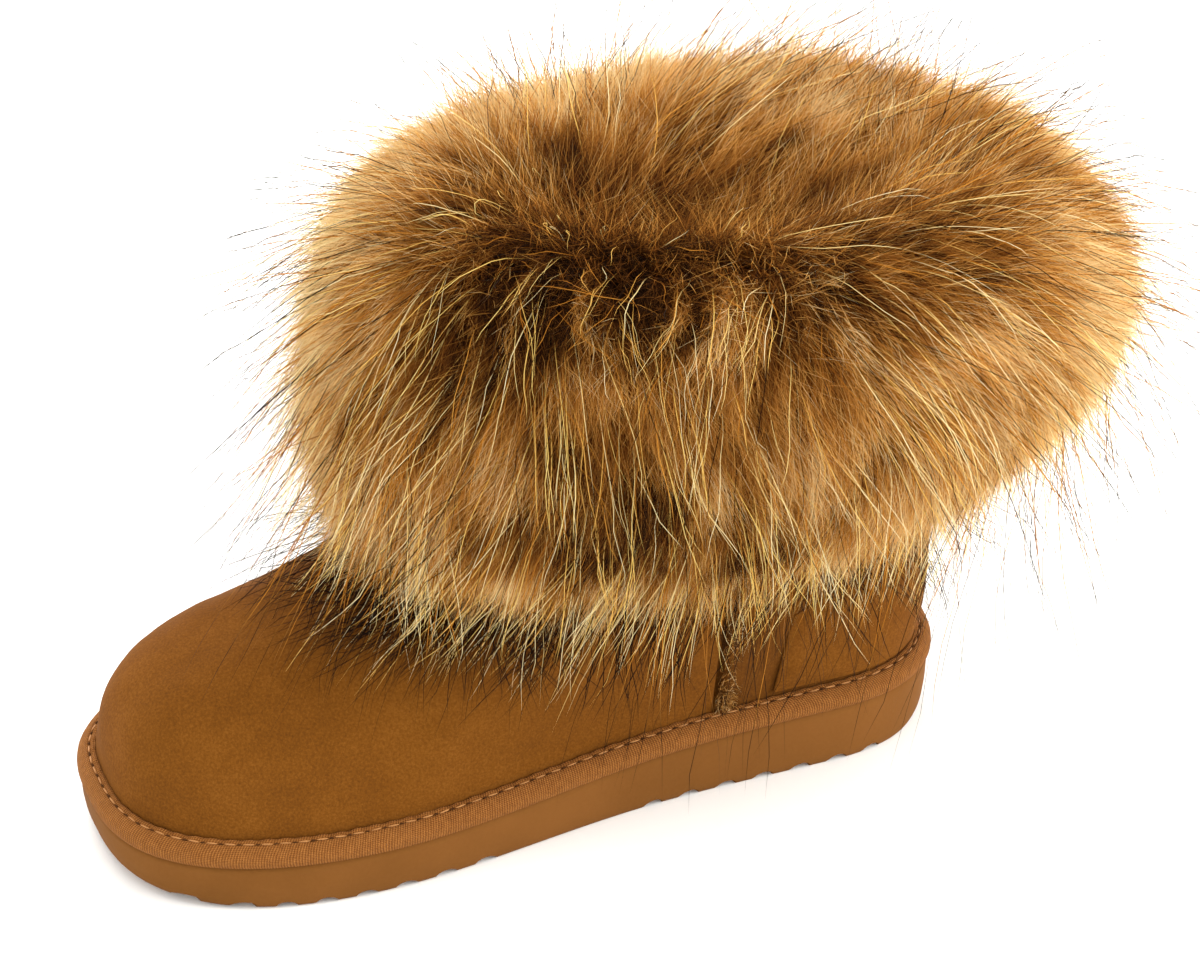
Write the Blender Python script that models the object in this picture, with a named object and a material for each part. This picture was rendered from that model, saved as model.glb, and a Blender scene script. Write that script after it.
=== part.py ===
"""A left winter boot of suede sheepskin with a deep fur cuff, on a thick foam sole.

Units are metres, +Z up. The toe points to -Y and the boot's outer side to +X. The origin is on the floor,
under the flat waist of the sole, midway between toe and heel.
"""

import math

import bmesh
import bpy
import numpy as np

# Driving sizes
sole_length = 0.268  # over the binding tape
ball_outer, ball_inner = 0.0552, 0.0563  # half widths at the ball, either side of the centre line
sole_thick_fore, sole_thick_heel = 0.0156, 0.0206
wedge_from, wedge_to = -0.0536, 0.0938  # where the sole's top climbs to the heel
wall = 0.007  # suede and the fleece behind it
gap = 0.0003  # between pieces that touch
collar_height = 0.163  # top edge of the shaft at its front
collar_drop = 0.004  # how much lower that edge is at the back
shaft_front = 0.009
shaft_half_width = 0.043

# Insets from the outer edge of the binding tape
sole_inset = 0.0011
tape_inner_inset = 0.0053
upper_inset = tape_inner_inset + 0.0005
insole_inset = upper_inset + wall + 0.0006

# Plan of the tape's outer edge: share of the length from the toe, half widths before the ends are rounded
plan_rows = [
    # share, outer side, inner side
    (0.00, 1.05 * ball_outer, 0.906 * ball_inner),
    (0.33, ball_outer, ball_inner),
    (0.62, 0.0445, 0.0391),
    (0.86, 0.0429, 0.0429),
    (1.00, 0.0416, 0.0416),
]
toe_share, toe_power_outer, toe_power_inner = 0.36, 2.54, 2.80
heel_share, heel_power = 0.17, 2.5
toe_shift, toe_shift_share = 0.0014, 0.35  # the toe's swing to the outer side of the centre line

# Ridge of the upper, from the toe over the instep to the shaft's front: height above the sole's top
ridge_rows = [
    # name, y, height before the toe is rounded
    ("toe", -0.1284, 0.0461),
    ("toe box", -0.105, 0.0463),
    ("vamp", -0.085, 0.0507),
    ("ball", -0.065, 0.0551),
    ("throat", -0.045, 0.0629),
    ("instep", -0.025, 0.0735),
    ("bend", -0.010, 0.0880),
    ("shin", 0.000, 0.1100),
    ("collar", shaft_front, 0.1500),
    ("above", 0.016, 0.2200),
]
toe_round_length, toe_round_power = 0.042, 2.94
arch_power = 2.35  # roundness of the vamp across the foot

# Back of the upper: how far it stands behind the heel's edge at the sole
back_rows = [
    # name, height above the sole's top, lean to the rear
    ("edge", 0.000, 0.0000),
    ("tape", 0.009, 0.0000),
    ("heel", 0.021, 0.0013),
    ("counter", 0.045, 0.0016),
    ("ankle", 0.085, 0.0000),
    ("shaft", 0.120, -0.0008),
    ("collar", 0.150, -0.0004),
]
back_share_from = 0.060  # where the foot's sides start to follow the heel's lean
shaft_power = 2.3
shaft_blend_low, shaft_blend_high = 0.055, 0.112  # where the foot's shape turns into the shaft's

# Binding tape, across: inset from the outer edge, height above the sole's top
tape_rows = [
    ("under", 0.0015, gap),
    ("lower", 0.00035, 0.0011),
    ("bulge", 0.0000, 0.0030),
    ("upper", 0.00045, 0.0049),
    ("shoulder", 0.0016, 0.0063),
    ("crown", 0.0030, 0.0071),
    ("stitch", 0.0046, 0.0076),
    ("lip", tape_inner_inset, 0.0077),
    ("foot", tape_inner_inset, gap),
]

# Outsole
toe_spring, toe_spring_from = 0.0045, -0.086
heel_lift, heel_lift_from = 0.0030, 0.112
side_rows = [
    # name, inset past the sole's own, share of the height
    ("top edge", 0.0006, 1.00),
    ("brow", 0.0000, 0.93),
    ("side", 0.0001, 0.50),
    ("foot", 0.0009, 0.14),
    ("tread edge", 0.0021, 0.00),
]
lug_pitch, groove_width, groove_depth = 0.0124, 0.0070, 0.0024
fore_groove, fore_grooves = -0.1149, 8  # the first one's place, how many
heel_groove, heel_grooves = 0.0300, 7
wave_height, wave_length, waves_each_side = 0.0042, 0.024, 3
groove_arc = 5  # points across its rounded roof
groove_lift = 0.00001  # keeps the ends of the roof off the sole's flat face

insole_thick = 0.0060

# Heel counter and badge
counter_thick = 0.0013
counter_seat = 0.0006  # its distance from the upper's curve, so that the facets stay clear as well
counter_front_low, counter_front_high = 0.070, 0.076
counter_bottom, counter_side_top, counter_back_top = 0.0085, 0.034, 0.056  # above the sole's top
badge_height = 0.0168  # of its middle, above the sole's top
badge_base_size, badge_base_thick = (0.0100, 0.0118), 0.0010
badge_base_taper = 0.35
badge_radius, badge_thick, badge_sides = 0.0034, 0.0014, 20
badge_profile = ((1.0, 0.0), (1.0, 0.55), (0.86, 0.85), (0.45, 1.0))  # shares of the radius and the thickness

# Fur cuff, outside: each row is a loop round the boot
cuff_rows = [
    # name, y front, y back, half width, height at front, side and back
    ("mouth", 0.019, 0.115, 0.028, 0.178, 0.176, 0.173),
    ("crest", -0.004, 0.136, 0.048, 0.198, 0.198, 0.190),
    ("shoulder", -0.036, 0.172, 0.080, 0.188, 0.188, 0.184),
    ("upper", -0.061, 0.196, 0.095, 0.168, 0.167, 0.166),
    ("widest", -0.070, 0.205, 0.100, 0.144, 0.143, 0.141),
    ("lower", -0.070, 0.192, 0.093, 0.118, 0.120, 0.114),
    ("under", -0.067, 0.167, 0.078, 0.096, 0.096, 0.082),
    ("hem", -0.060, 0.142, 0.060, 0.080, 0.069, 0.052),
]
cuff_power = 2.05
cuff_dip_power = 1.5  # how the rim's height runs from the ends to the sides
cuff_clear = 0.0010  # from the shaft, where the skin is sewn on
cuff_loops = 13
cuff_seat_rows = [
    # share of the way from the hem to the collar, distance from the upper
    (0.00, 0.0038),
    (0.28, 0.0030),
    (0.46, 0.0013),
    (0.64, cuff_clear),
    (0.82, cuff_clear),
    (1.00, cuff_clear),
]

# Mesh densities
plan_steps = 72  # points round the sole and tape
upper_steps, upper_rings = 56, 17
cuff_steps = 56


def smooth_step(value, low, high):
    t = np.clip((np.asarray(value, float) - low) / (high - low), 0, 1)
    return t * t * (3 - 2 * t)


def through(at, places, values):
    """A smooth curve through the values given at these places."""
    at, places, values = (np.asarray(v, float) for v in (at, places, values))
    run = np.diff(places)
    slope = np.diff(values) / run
    lean = np.concatenate(
        [slope[:1], (slope[:-1] * run[1:] + slope[1:] * run[:-1]) / (run[1:] + run[:-1]), slope[-1:]]
    )
    i = np.clip(np.searchsorted(places, at) - 1, 0, len(run) - 1)
    t = np.clip((at - places[i]) / run[i], 0, 1)
    start = (1 + 2 * t) * values[i] + t * run[i] * lean[i]
    end = (3 - 2 * t) * values[i + 1] + (t - 1) * run[i] * lean[i + 1]
    return (1 - t) ** 2 * start + t**2 * end


def end_round(share, length, power):
    """From 0 at the very end to 1 at this length from it, along a rounded outline."""
    u = np.clip(1 - np.asarray(share, float) / length, 0, 1)
    return (1 - u**power) ** (1 / power)


# Sole plan


def centre_line(y):
    share = np.clip((np.asarray(y, float) + sole_length / 2) / sole_length, 0, 1)
    return toe_shift * np.clip(1 - share / toe_shift_share, 0, 1) ** 2


def plan_edge(count=1200):
    """The tape's outer edge, anticlockwise from the toe, as x and y."""
    y = -sole_length / 2 * np.cos(np.linspace(0, np.pi, count // 2 + 1))
    share = (y + sole_length / 2) / sole_length
    rows = np.array(plan_rows)
    heel = end_round(1 - share, heel_share, heel_power)
    outer = through(share, rows[:, 0], rows[:, 1]) * heel * end_round(share, toe_share, toe_power_outer)
    inner = through(share, rows[:, 0], rows[:, 2]) * heel * end_round(share, toe_share, toe_power_inner)
    right = np.stack([centre_line(y) + outer, y], 1)
    left = np.stack([centre_line(y) - inner, y], 1)
    return np.concatenate([right, left[-2:0:-1]])


def plan_sides(inset):
    """The edge moved inwards, as y and x of its outer side and of its inner side."""
    edge = plan_edge()
    along = np.roll(edge, -1, 0) - np.roll(edge, 1, 0)
    along /= np.linalg.norm(along, axis=1, keepdims=True)
    moved = edge - inset * np.stack([along[:, 1], -along[:, 0]], 1)
    half = len(edge) // 2
    right = moved[: half + 1]
    left = np.concatenate([moved[half:], moved[:1]])[::-1]
    return right, left


def half_widths(y, inset):
    """x of the outer and of the inner side at y, on the edge moved inwards."""
    right, left = plan_sides(inset)
    return np.interp(y, right[:, 1], right[:, 0]), np.interp(y, left[:, 1], left[:, 0])


def plan_ring(inset, steps=plan_steps):
    """Points round the plan at equal angles, with the same y on both sides."""
    angle = np.linspace(0, np.pi, steps // 2 + 1)
    reach = sole_length / 2 - inset
    y = -reach * np.cos(angle)
    outer, inner = half_widths(y, inset)
    tip = (outer + inner) / 2
    outer[[0, -1]] = inner[[0, -1]] = tip[[0, -1]]
    right = np.stack([outer, y], 1)
    left = np.stack([inner, y], 1)
    return np.concatenate([right, left[-2:0:-1]])


def sole_top(y):
    return sole_thick_fore + (sole_thick_heel - sole_thick_fore) * smooth_step(y, wedge_from, wedge_to)


def sole_bottom(y):
    y = np.asarray(y, float)
    spring = toe_spring * np.clip((toe_spring_from - y) / (sole_length / 2 + toe_spring_from), 0, 1) ** 2
    return spring + heel_lift * smooth_step(y, heel_lift_from, sole_length / 2)


# Upper form


def ridge_height(y):
    """Height of the upper's ridge above the sole's top."""
    tip = -sole_length / 2 + upper_inset
    places = [row[1] for row in ridge_rows]
    heights = [row[2] for row in ridge_rows]
    return through(y, places, heights) * end_round(y - tip, toe_round_length, toe_round_power)


def ridge_line():
    """The ridge as y and height, from the toe up to the collar, and its length so far."""
    tip = -sole_length / 2 + upper_inset
    y = tip + (shaft_front - tip) * (1 - np.cos(np.linspace(0, np.pi, 800))) / 2
    height = ridge_height(y)
    top = collar_height - sole_top(shaft_front)
    keep = height < top
    y = np.append(y[keep], np.interp(top, height, y))
    height = np.append(height[keep], top)
    length = np.concatenate([[0], np.cumsum(np.hypot(np.diff(y), np.diff(height)))])
    return y, height, length


ridge = ridge_line()
edge_sides = plan_sides(upper_inset)


def back_lean(height):
    return through(height, [row[1] for row in back_rows], [row[2] for row in back_rows])


def half_width_at(y, height, front_y, back_y, side):
    """How far the upper reaches to one side, as x, at y and this height above the sole's top."""
    edge = edge_sides[0 if side > 0 else 1]
    middle = centre_line(y)
    heel_edge = sole_length / 2 - upper_inset
    foot_y = y - (back_y - heel_edge) * smooth_step(y, back_share_from, heel_edge)
    half = np.abs(np.interp(foot_y, edge[:, 1], edge[:, 0]) - middle)
    fill = np.clip(height / np.maximum(ridge_height(y), 1e-6), 0, 1)
    foot = half * (1 - fill**arch_power) ** (1 / arch_power)
    across = np.clip((y - front_y) / (back_y - front_y), 0, 1)
    shaft = shaft_half_width * (1 - np.abs(2 * across - 1) ** shaft_power) ** (1 / shaft_power)
    share = smooth_step(height, shaft_blend_low, shaft_blend_high)
    return middle + side * (foot * (1 - share) + shaft * share)


def upper_point(angle, rise):
    """A point on the upper's outside.

    Angle is 0 at the ridge and pi at the back, rise is 0 at the sole and 1 at the collar.
    """
    angle = np.asarray(angle, float)
    rise = np.asarray(rise, float) + 0 * angle
    ridge_y, ridge_z, length = ridge
    along = rise * length[-1]
    front_y = np.interp(along, length, ridge_y)
    front_height = np.interp(along, length, ridge_z)
    back_full = collar_height - collar_drop - sole_thick_heel
    back_height = back_full * (0.5 * rise + 0.5 * front_height / ridge_z[-1])
    share = (1 - np.cos(angle)) / 2
    height = front_height + (back_height - front_height) * share
    back_y = sole_length / 2 - upper_inset + back_lean(back_height)
    y = front_y + (back_y - front_y) * share
    level_front = np.interp(height, ridge_z, ridge_y)
    side = np.where(np.sin(angle) >= 0, 1.0, -1.0)
    outer = half_width_at(y, height, level_front, back_y, 1)
    inner = half_width_at(y, height, level_front, back_y, -1)
    x = np.where(side > 0, outer, inner)
    ends = np.isclose(np.sin(angle), 0, atol=1e-9)
    x = np.where(ends, centre_line(y), x)
    return np.stack([x, y, height + sole_top(y)], -1)


def upper_normal(angle, rise):
    """The way out of the upper's surface."""
    step = 0.02
    around = upper_point(angle + step, rise) - upper_point(angle - step, rise)
    low, high = np.clip(rise - step, 0, 1), np.clip(rise + step, 0, 1)
    up = upper_point(angle, high) - upper_point(angle, low)
    out = np.cross(around, up)
    return out / np.linalg.norm(out, axis=-1, keepdims=True)


def upper_offset(angle, rise, out, level=False):
    """A point this far outside the upper. Level keeps it at the surface's own height."""
    normal = upper_normal(angle, rise)
    if level:
        normal[..., 2] = 0
        normal /= np.linalg.norm(normal, axis=-1, keepdims=True)
    return upper_point(angle, rise) + out * normal


def angle_at(y, rise):
    """The angle at which the upper's surface passes y."""
    front, back = upper_point(0.0, rise)[1], upper_point(math.pi, rise)[1]
    return math.acos(1 - 2 * (y - front) / (back - front))


def angle_for_x(x, rise):
    """The angle near the back at which the upper is this far to its outer side."""
    angles = np.linspace(math.pi, 0.7 * math.pi, 200)
    return float(np.interp(x, upper_point(angles, rise)[:, 0], angles))


def rise_at_back(height):
    """The rise at which the back stands this high above the sole's top."""
    rises = np.linspace(0, 1, 400)
    points = upper_point(np.full(400, math.pi), rises)
    return float(np.interp(height, points[:, 2] - sole_top(points[:, 1]), rises))


# Meshes


def finished(name, work, material, smooth_angle=40):
    """Turns the working mesh into an object, shaded smooth up to this angle."""
    bmesh.ops.recalc_face_normals(work, faces=work.faces)
    mesh = bpy.data.meshes.new(name)
    work.to_mesh(mesh)
    work.free()
    mesh.shade_smooth()
    mesh.set_sharp_from_angle(angle=math.radians(smooth_angle))
    if material:
        mesh.materials.append(material)
    made = bpy.data.objects.new(name, mesh)
    bpy.context.scene.collection.objects.link(made)
    return made


def loft(name, rings, closed_across, material, smooth_angle=40):
    """Joins rings of equal point counts. The last ring joins the first, or both ends are capped."""
    work = bmesh.new()
    made = [[work.verts.new(tuple(map(float, p))) for p in ring] for ring in rings]
    count = len(made[0])
    pairs = list(zip(made, made[1:]))
    if closed_across:
        pairs.append((made[-1], made[0]))
    for low, high in pairs:
        for i in range(count):
            j = (i + 1) % count
            work.faces.new((low[i], low[j], high[j], high[i]))
    if not closed_across:
        cap(work, made[0])
        cap(work, made[-1])
    return finished(name, work, material, smooth_angle)


def cap(work, ring):
    """Closes a ring with strips between its two sides."""
    count = len(ring)
    half = count // 2
    work.faces.new((ring[0], ring[1], ring[count - 1]))
    for i in range(1, half - 1):
        work.faces.new((ring[i], ring[i + 1], ring[count - i - 1], ring[count - i]))
    work.faces.new((ring[half - 1], ring[half], ring[half + 1]))


def lifted(ring, heights):
    return np.column_stack([ring, heights])


def principled(name, colour, roughness, metallic=0.0):
    material = bpy.data.materials.new(name)
    material.use_nodes = True
    shader = material.node_tree.nodes["Principled BSDF"]
    shader.inputs["Base Color"].default_value = (*colour, 1)
    shader.inputs["Roughness"].default_value = roughness
    shader.inputs["Metallic"].default_value = metallic
    return material


# Pieces


def groove(centre):
    """One wavy groove across the tread, as rings from the inner side to the outer side."""
    base = float(sole_bottom(centre)) + groove_lift
    rings = []
    for i in range(-2 * waves_each_side, 2 * waves_each_side + 1):
        x = i * wave_length / 2
        y = centre + wave_height / 2 * (-1) ** i
        ring = [(x, y - groove_width / 2, -groove_depth), (x, y + groove_width / 2, -groove_depth)]
        for turn in np.linspace(0, math.pi, groove_arc):
            across = math.cos(turn) * groove_width / 2
            ring.append((x, y + across, base + groove_depth * math.sin(turn)))
        rings.append(ring)
    return rings


def groove_cutter():
    """All grooves as one hidden shape."""
    work = bmesh.new()
    centres = [fore_groove + i * lug_pitch for i in range(fore_grooves)]
    centres += [heel_groove + i * lug_pitch for i in range(heel_grooves)]
    for centre in centres:
        rings = [[work.verts.new(p) for p in ring] for ring in groove(centre)]
        for low, high in zip(rings, rings[1:]):
            for i in range(len(low)):
                j = (i + 1) % len(low)
                work.faces.new((low[i], low[j], high[j], high[i]))
        work.faces.new(rings[0])
        work.faces.new(rings[-1])
    cutter = finished("grooves", work, None)
    cutter.hide_render = True
    cutter.display_type = "WIRE"
    return cutter


def make_outsole(material):
    rings = []
    for _, inset, share in side_rows:
        ring = plan_ring(sole_inset + inset)
        low, high = sole_bottom(ring[:, 1]), sole_top(ring[:, 1])
        rings.append(lifted(ring, low + (high - low) * share))
    sole = loft("outsole", rings, False, material)
    cut = sole.modifiers.new("grooves", "BOOLEAN")
    cut.operation = "DIFFERENCE"
    cut.solver = "EXACT"
    cut.object = groove_cutter()
    return sole


def make_tape(material):
    rings = []
    for _, inset, height in tape_rows:
        ring = plan_ring(inset)
        rings.append(lifted(ring, sole_top(ring[:, 1]) + height))
    return loft("binding_tape", rings, True, material, 60)


def make_insole(material):
    rings = []
    for inset, height in ((0.0, 0.0), (0.0, 0.55), (0.0006, 0.9), (0.002, 1.0)):
        ring = plan_ring(insole_inset + inset, upper_steps)
        rings.append(lifted(ring, sole_top(ring[:, 1]) + gap + insole_thick * height))
    return loft("insole", rings, False, material)


def make_upper(material):
    angles = np.arange(upper_steps) / upper_steps * 2 * math.pi
    rises = np.linspace(0, 1, upper_rings)
    outside, inside = [], []
    for rise in rises:
        level = rise in (0, 1)
        lift = np.array([0, 0, gap]) * (rise == 0)
        outside.append(upper_point(angles, rise) + lift)
        inside.append(upper_offset(angles, rise, -wall, level) + lift)
    return loft("upper", outside + inside[::-1], True, material)


def patch(name, columns, rows, inner, outer, material):
    """A thin piece that follows the upper, between two offsets. columns and rows give angles and rises."""
    work = bmesh.new()
    sheets = []
    for out in (inner, outer):
        sheet = [
            [work.verts.new(tuple(map(float, upper_offset(a, r, out)))) for a, r in zip(columns[k], rows[k])]
            for k in range(len(rows))
        ]
        sheets.append(sheet)
    low, high = sheets
    for sheet in sheets:
        for a, b in zip(sheet, sheet[1:]):
            for i in range(len(a) - 1):
                work.faces.new((a[i], a[i + 1], b[i + 1], b[i]))
    rims = [
        (low[0], high[0]),
        (low[-1], high[-1]),
        ([row[0] for row in low], [row[0] for row in high]),
        ([row[-1] for row in low], [row[-1] for row in high]),
    ]
    for a, b in rims:
        for i in range(len(a) - 1):
            work.faces.new((a[i], a[i + 1], b[i + 1], b[i]))
    return finished(name, work, material)


def make_counter(material):
    columns, rows = [], []
    low = rise_at_back(counter_bottom)
    for up in np.linspace(0, 1, 7):
        front = counter_front_low + (counter_front_high - counter_front_low) * up
        side_rise = low + (rise_at_back(counter_side_top) - low) * up
        back_rise = low + (rise_at_back(counter_back_top) - low) * up
        start = angle_at(front, side_rise)
        angles = np.linspace(start, 2 * math.pi - start, 21)
        towards_back = np.clip(1 - ((angles - math.pi) / (math.pi - start)) ** 2, 0, 1)
        columns.append(angles)
        rows.append(side_rise + (back_rise - side_rise) * towards_back)
    return patch("heel_counter", columns, rows, counter_seat, counter_seat + counter_thick, material)


def make_badge(base_material, metal):
    width, height = badge_base_size
    inner = counter_seat + counter_thick + gap
    columns, rows = [], []
    for up in np.linspace(-0.5, 0.5, 5):
        rise = rise_at_back(badge_height + up * height)
        reach = math.pi - angle_for_x(width / 2 * (1 - badge_base_taper * (2 * abs(up)) ** 3), rise)
        angles = np.linspace(math.pi - reach, math.pi + reach, 7)
        columns.append(angles)
        rows.append(np.full(7, rise))
    patch("badge_base", columns, rows, inner, inner + badge_base_thick, base_material)

    rise = rise_at_back(badge_height)
    seat = upper_offset(math.pi, rise, inner + badge_base_thick + gap)
    out_way = upper_normal(math.pi, rise)
    across_way = np.array([1.0, 0.0, 0.0])
    up_way = np.cross(across_way, out_way)
    work = bmesh.new()
    rings = []
    for radius, out in badge_profile:
        ring = []
        for i in range(badge_sides):
            turn = i / badge_sides * 2 * math.pi
            place = seat + badge_thick * out * out_way
            place = place + badge_radius * radius * (math.cos(turn) * across_way + math.sin(turn) * up_way)
            ring.append(work.verts.new(tuple(map(float, place))))
        rings.append(ring)
    for a, b in zip(rings, rings[1:]):
        for i in range(badge_sides):
            j = (i + 1) % badge_sides
            work.faces.new((a[i], a[j], b[j], b[i]))
    work.faces.new(rings[0])
    work.faces.new(rings[-1])
    return finished("badge_button", work, metal, 35)


def cuff_loop(share):
    """One loop of the fur's outside, an oval that dips towards the back. Share 0 is the mouth, 1 the hem."""
    columns = np.array([row[1:] for row in cuff_rows]).T
    places = np.linspace(0, 1, len(cuff_rows))
    front, back, half, high_front, high_side, high_back = (through(share, places, c) for c in columns)
    angle = np.arange(cuff_steps) / cuff_steps * 2 * math.pi
    cos, sin = np.cos(angle), np.sin(angle)
    round_cos = np.sign(cos) * np.abs(cos) ** (2 / cuff_power)
    round_sin = np.sign(sin) * np.abs(sin) ** (2 / cuff_power)
    y = (front + back) / 2 - (back - front) / 2 * round_cos
    x = half * round_sin
    end = np.where(cos > 0, high_front, high_back)
    z = high_side + (end - high_side) * np.abs(cos) ** cuff_dip_power
    return np.stack([x, y, z], 1)


def make_cuff(material):
    angles = np.arange(cuff_steps) / cuff_steps * 2 * math.pi
    outside = [cuff_loop(share) for share in np.linspace(0, 1, cuff_loops)]
    hem = outside[-1]
    low = np.array([rise_for(angle, z) for angle, z in zip(angles, hem[:, 2])])
    inside = []
    for share, out in cuff_seat_rows:
        inside.append(upper_offset(angles, low + (1 - low) * share, out, share == 1))
    over = np.array([0, 0, cuff_clear])
    inside.append(upper_offset(angles, 1.0, cuff_clear, True) + over)
    inside.append(upper_offset(angles, 1.0, -wall, True) + over)
    return loft("fur_cuff", inside + outside, True, material)


def rise_for(angle, z):
    """The rise at which the upper's surface reaches this height at this angle."""
    rises = np.linspace(0, 1, 200)
    points = upper_point(np.full(200, angle), rises)
    return float(np.interp(z, points[:, 2], rises))


def main():
    for made in list(bpy.data.objects):
        bpy.data.objects.remove(made, do_unlink=True)
    suede = principled("chestnut suede", (0.34, 0.13, 0.03), 0.9)
    make_outsole(principled("tan foam", (0.24, 0.10, 0.03), 0.7))
    make_tape(principled("woven tape", (0.42, 0.17, 0.05), 0.8))
    make_insole(principled("footbed fleece", (0.55, 0.38, 0.22), 0.95))
    make_upper(suede)
    make_counter(principled("counter suede", (0.37, 0.15, 0.035), 0.9))
    make_badge(
        principled("patch leather", (0.05, 0.03, 0.02), 0.6),
        principled("aged nickel", (0.30, 0.28, 0.24), 0.35, 1.0),
    )
    make_cuff(principled("fox fur", (0.36, 0.19, 0.07), 0.8))


main()
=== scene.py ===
import math

import bpy
import numpy as np
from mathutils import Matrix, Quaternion, Vector


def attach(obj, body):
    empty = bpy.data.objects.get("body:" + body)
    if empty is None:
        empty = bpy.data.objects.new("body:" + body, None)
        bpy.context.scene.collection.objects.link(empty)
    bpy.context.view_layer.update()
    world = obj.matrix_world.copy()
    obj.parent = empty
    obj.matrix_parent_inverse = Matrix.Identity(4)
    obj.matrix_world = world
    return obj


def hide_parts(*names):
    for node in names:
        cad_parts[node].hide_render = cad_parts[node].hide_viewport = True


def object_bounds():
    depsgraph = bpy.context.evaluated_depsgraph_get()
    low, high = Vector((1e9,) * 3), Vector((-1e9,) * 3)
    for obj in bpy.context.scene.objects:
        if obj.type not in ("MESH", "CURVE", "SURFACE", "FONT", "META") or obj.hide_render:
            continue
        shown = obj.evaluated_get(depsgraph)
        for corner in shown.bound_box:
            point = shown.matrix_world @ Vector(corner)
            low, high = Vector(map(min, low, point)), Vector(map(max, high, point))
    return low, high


# A lined winter boot: suede upper, foam sole, woven binding and a deep fur cuff.
# Metres, +Z up, toe to -Y, outer side to +X, as the frame has it.

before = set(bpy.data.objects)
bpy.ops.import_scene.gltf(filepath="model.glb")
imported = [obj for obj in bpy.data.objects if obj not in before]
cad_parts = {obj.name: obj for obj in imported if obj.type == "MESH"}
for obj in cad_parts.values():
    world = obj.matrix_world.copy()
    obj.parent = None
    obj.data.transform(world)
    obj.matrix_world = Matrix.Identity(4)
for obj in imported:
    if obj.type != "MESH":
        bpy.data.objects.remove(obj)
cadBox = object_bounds()
print("frame loaded")


# Small helpers


def hexColour(text):  # sRGB hex to the linear values that shaders use
    channels = [int(text[i : i + 2], 16) / 255 for i in (1, 3, 5)]
    return [c / 12.92 if c <= 0.04045 else ((c + 0.055) / 1.055) ** 2.4 for c in channels] + [1.0]


def setSockets(tree, node, sockets):  # a socket takes a value, a hex colour, an output or another node
    for name, value in dict(sockets).items():
        if isinstance(value, bpy.types.Node):
            value = value.outputs[0]
        if isinstance(value, bpy.types.NodeSocket):
            tree.links.new(value, node.inputs[name])
        else:
            node.inputs[name].default_value = hexColour(value) if isinstance(value, str) else value


def addNode(tree, kind, settings=(), sockets=()):  # settings are the node's own
    node = tree.nodes.new(kind)
    for name, value in dict(settings).items():
        setattr(node, name, value)
    setSockets(tree, node, sockets)
    return node


timesPlus = {"operation": "MULTIPLY_ADD"}  # socket 0 times socket 1, plus socket 2


def setStops(ramp, stops):  # places with hex colours
    elements = ramp.color_ramp.elements
    while len(elements) < len(stops):
        elements.new(0.5)
    for element, (place, colour) in zip(elements, stops):
        element.position = place
        element.color = hexColour(colour)
    return ramp


def newMaterial(name, **values):  # the values are the shader's own, with _ for a space
    material = bpy.data.materials.new(name)
    material.use_nodes = True
    tree = material.node_tree
    shader = tree.nodes["Principled BSDF"]
    setSockets(tree, shader, {socket.replace("_", " "): value for socket, value in values.items()})
    return material, tree, shader


def newPiece(name, points, faces, material, uv=None, uvName="OFBake"):
    # Faces may mix triangles and quads. The map is given for each point, or for each corner.
    mesh = bpy.data.meshes.new(name)
    points = np.asarray(points, np.float32).reshape(-1, 3)
    if isinstance(faces, np.ndarray):
        corners = faces.astype(np.int32).ravel()
        sizes = np.full(len(faces), faces.shape[1], np.int32)
    else:
        corners = np.concatenate([np.asarray(f, np.int32) for f in faces])
        sizes = np.array([len(f) for f in faces], np.int32)
    mesh.vertices.add(len(points))
    mesh.vertices.foreach_set("co", points.ravel())
    mesh.loops.add(len(corners))
    mesh.loops.foreach_set("vertex_index", corners)
    mesh.polygons.add(len(sizes))
    mesh.polygons.foreach_set("loop_start", np.concatenate([[0], np.cumsum(sizes)[:-1]]).astype(np.int32))
    mesh.update(calc_edges=True)
    mesh.validate()
    if uv is not None:
        layer = mesh.uv_layers.new(name=uvName)
        uv = np.asarray(uv, np.float32)
        layer.data.foreach_set("uv", (uv if len(uv) == len(corners) else uv[corners]).ravel())
    mesh.shade_smooth()
    mesh.materials.append(material)
    piece = bpy.data.objects.new(name, mesh)
    bpy.context.scene.collection.objects.link(piece)
    return piece


def join(piece, node):  # makes it part of the boot, in place of the frame's own shape
    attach(piece, "root")
    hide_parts(node)
    return piece


def applied(piece):  # its modifiers turned into plain mesh
    shape = bpy.data.meshes.new_from_object(piece.evaluated_get(bpy.context.evaluated_depsgraph_get()))
    piece.modifiers.clear()
    piece.data = shape
    shape.shade_smooth()
    return shape


def gridFaces(rows, columns, closedRows=False, closedColumns=False):
    r = np.arange(rows if closedRows else rows - 1)
    c = np.arange(columns if closedColumns else columns - 1)
    r, c = (v.ravel() for v in np.meshgrid(r, c, indexing="ij"))
    nextR, nextC = (r + 1) % rows, (c + 1) % columns
    return np.stack([r * columns + c, r * columns + nextC, nextR * columns + nextC, nextR * columns + c], 1)


def endCaps(rows, columns, first=0):  # closes both ends of a tube of rings
    end = first + (rows - 1) * columns
    return [list(range(first, first + columns))[::-1], list(range(end, end + columns))]


def flatCaps(rows, columns):  # closes both ends of a tube that lies flat, with strips across it
    faces = []
    for first, flip in ((0, True), ((rows - 1) * columns, False)):
        for i in range(columns // 2 - 1):
            strip = [first + i, first + i + 1, first + columns - 2 - i, first + columns - 1 - i]
            faces.append(strip[::-1] if flip else strip)
    return faces


def smoothStep(value, low, high):
    t = np.clip((np.asarray(value, float) - low) / (high - low), 0, 1)
    return t * t * (3 - 2 * t)


def crowdedEnds(count):  # from 0 to 1, closer together towards both
    return (1 - np.cos(np.linspace(0, np.pi, count))) / 2


def lengthsAlong(points):  # how far along its line each point is
    return np.concatenate([[0], np.cumsum(np.linalg.norm(np.diff(points, axis=0), axis=1))])


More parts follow.
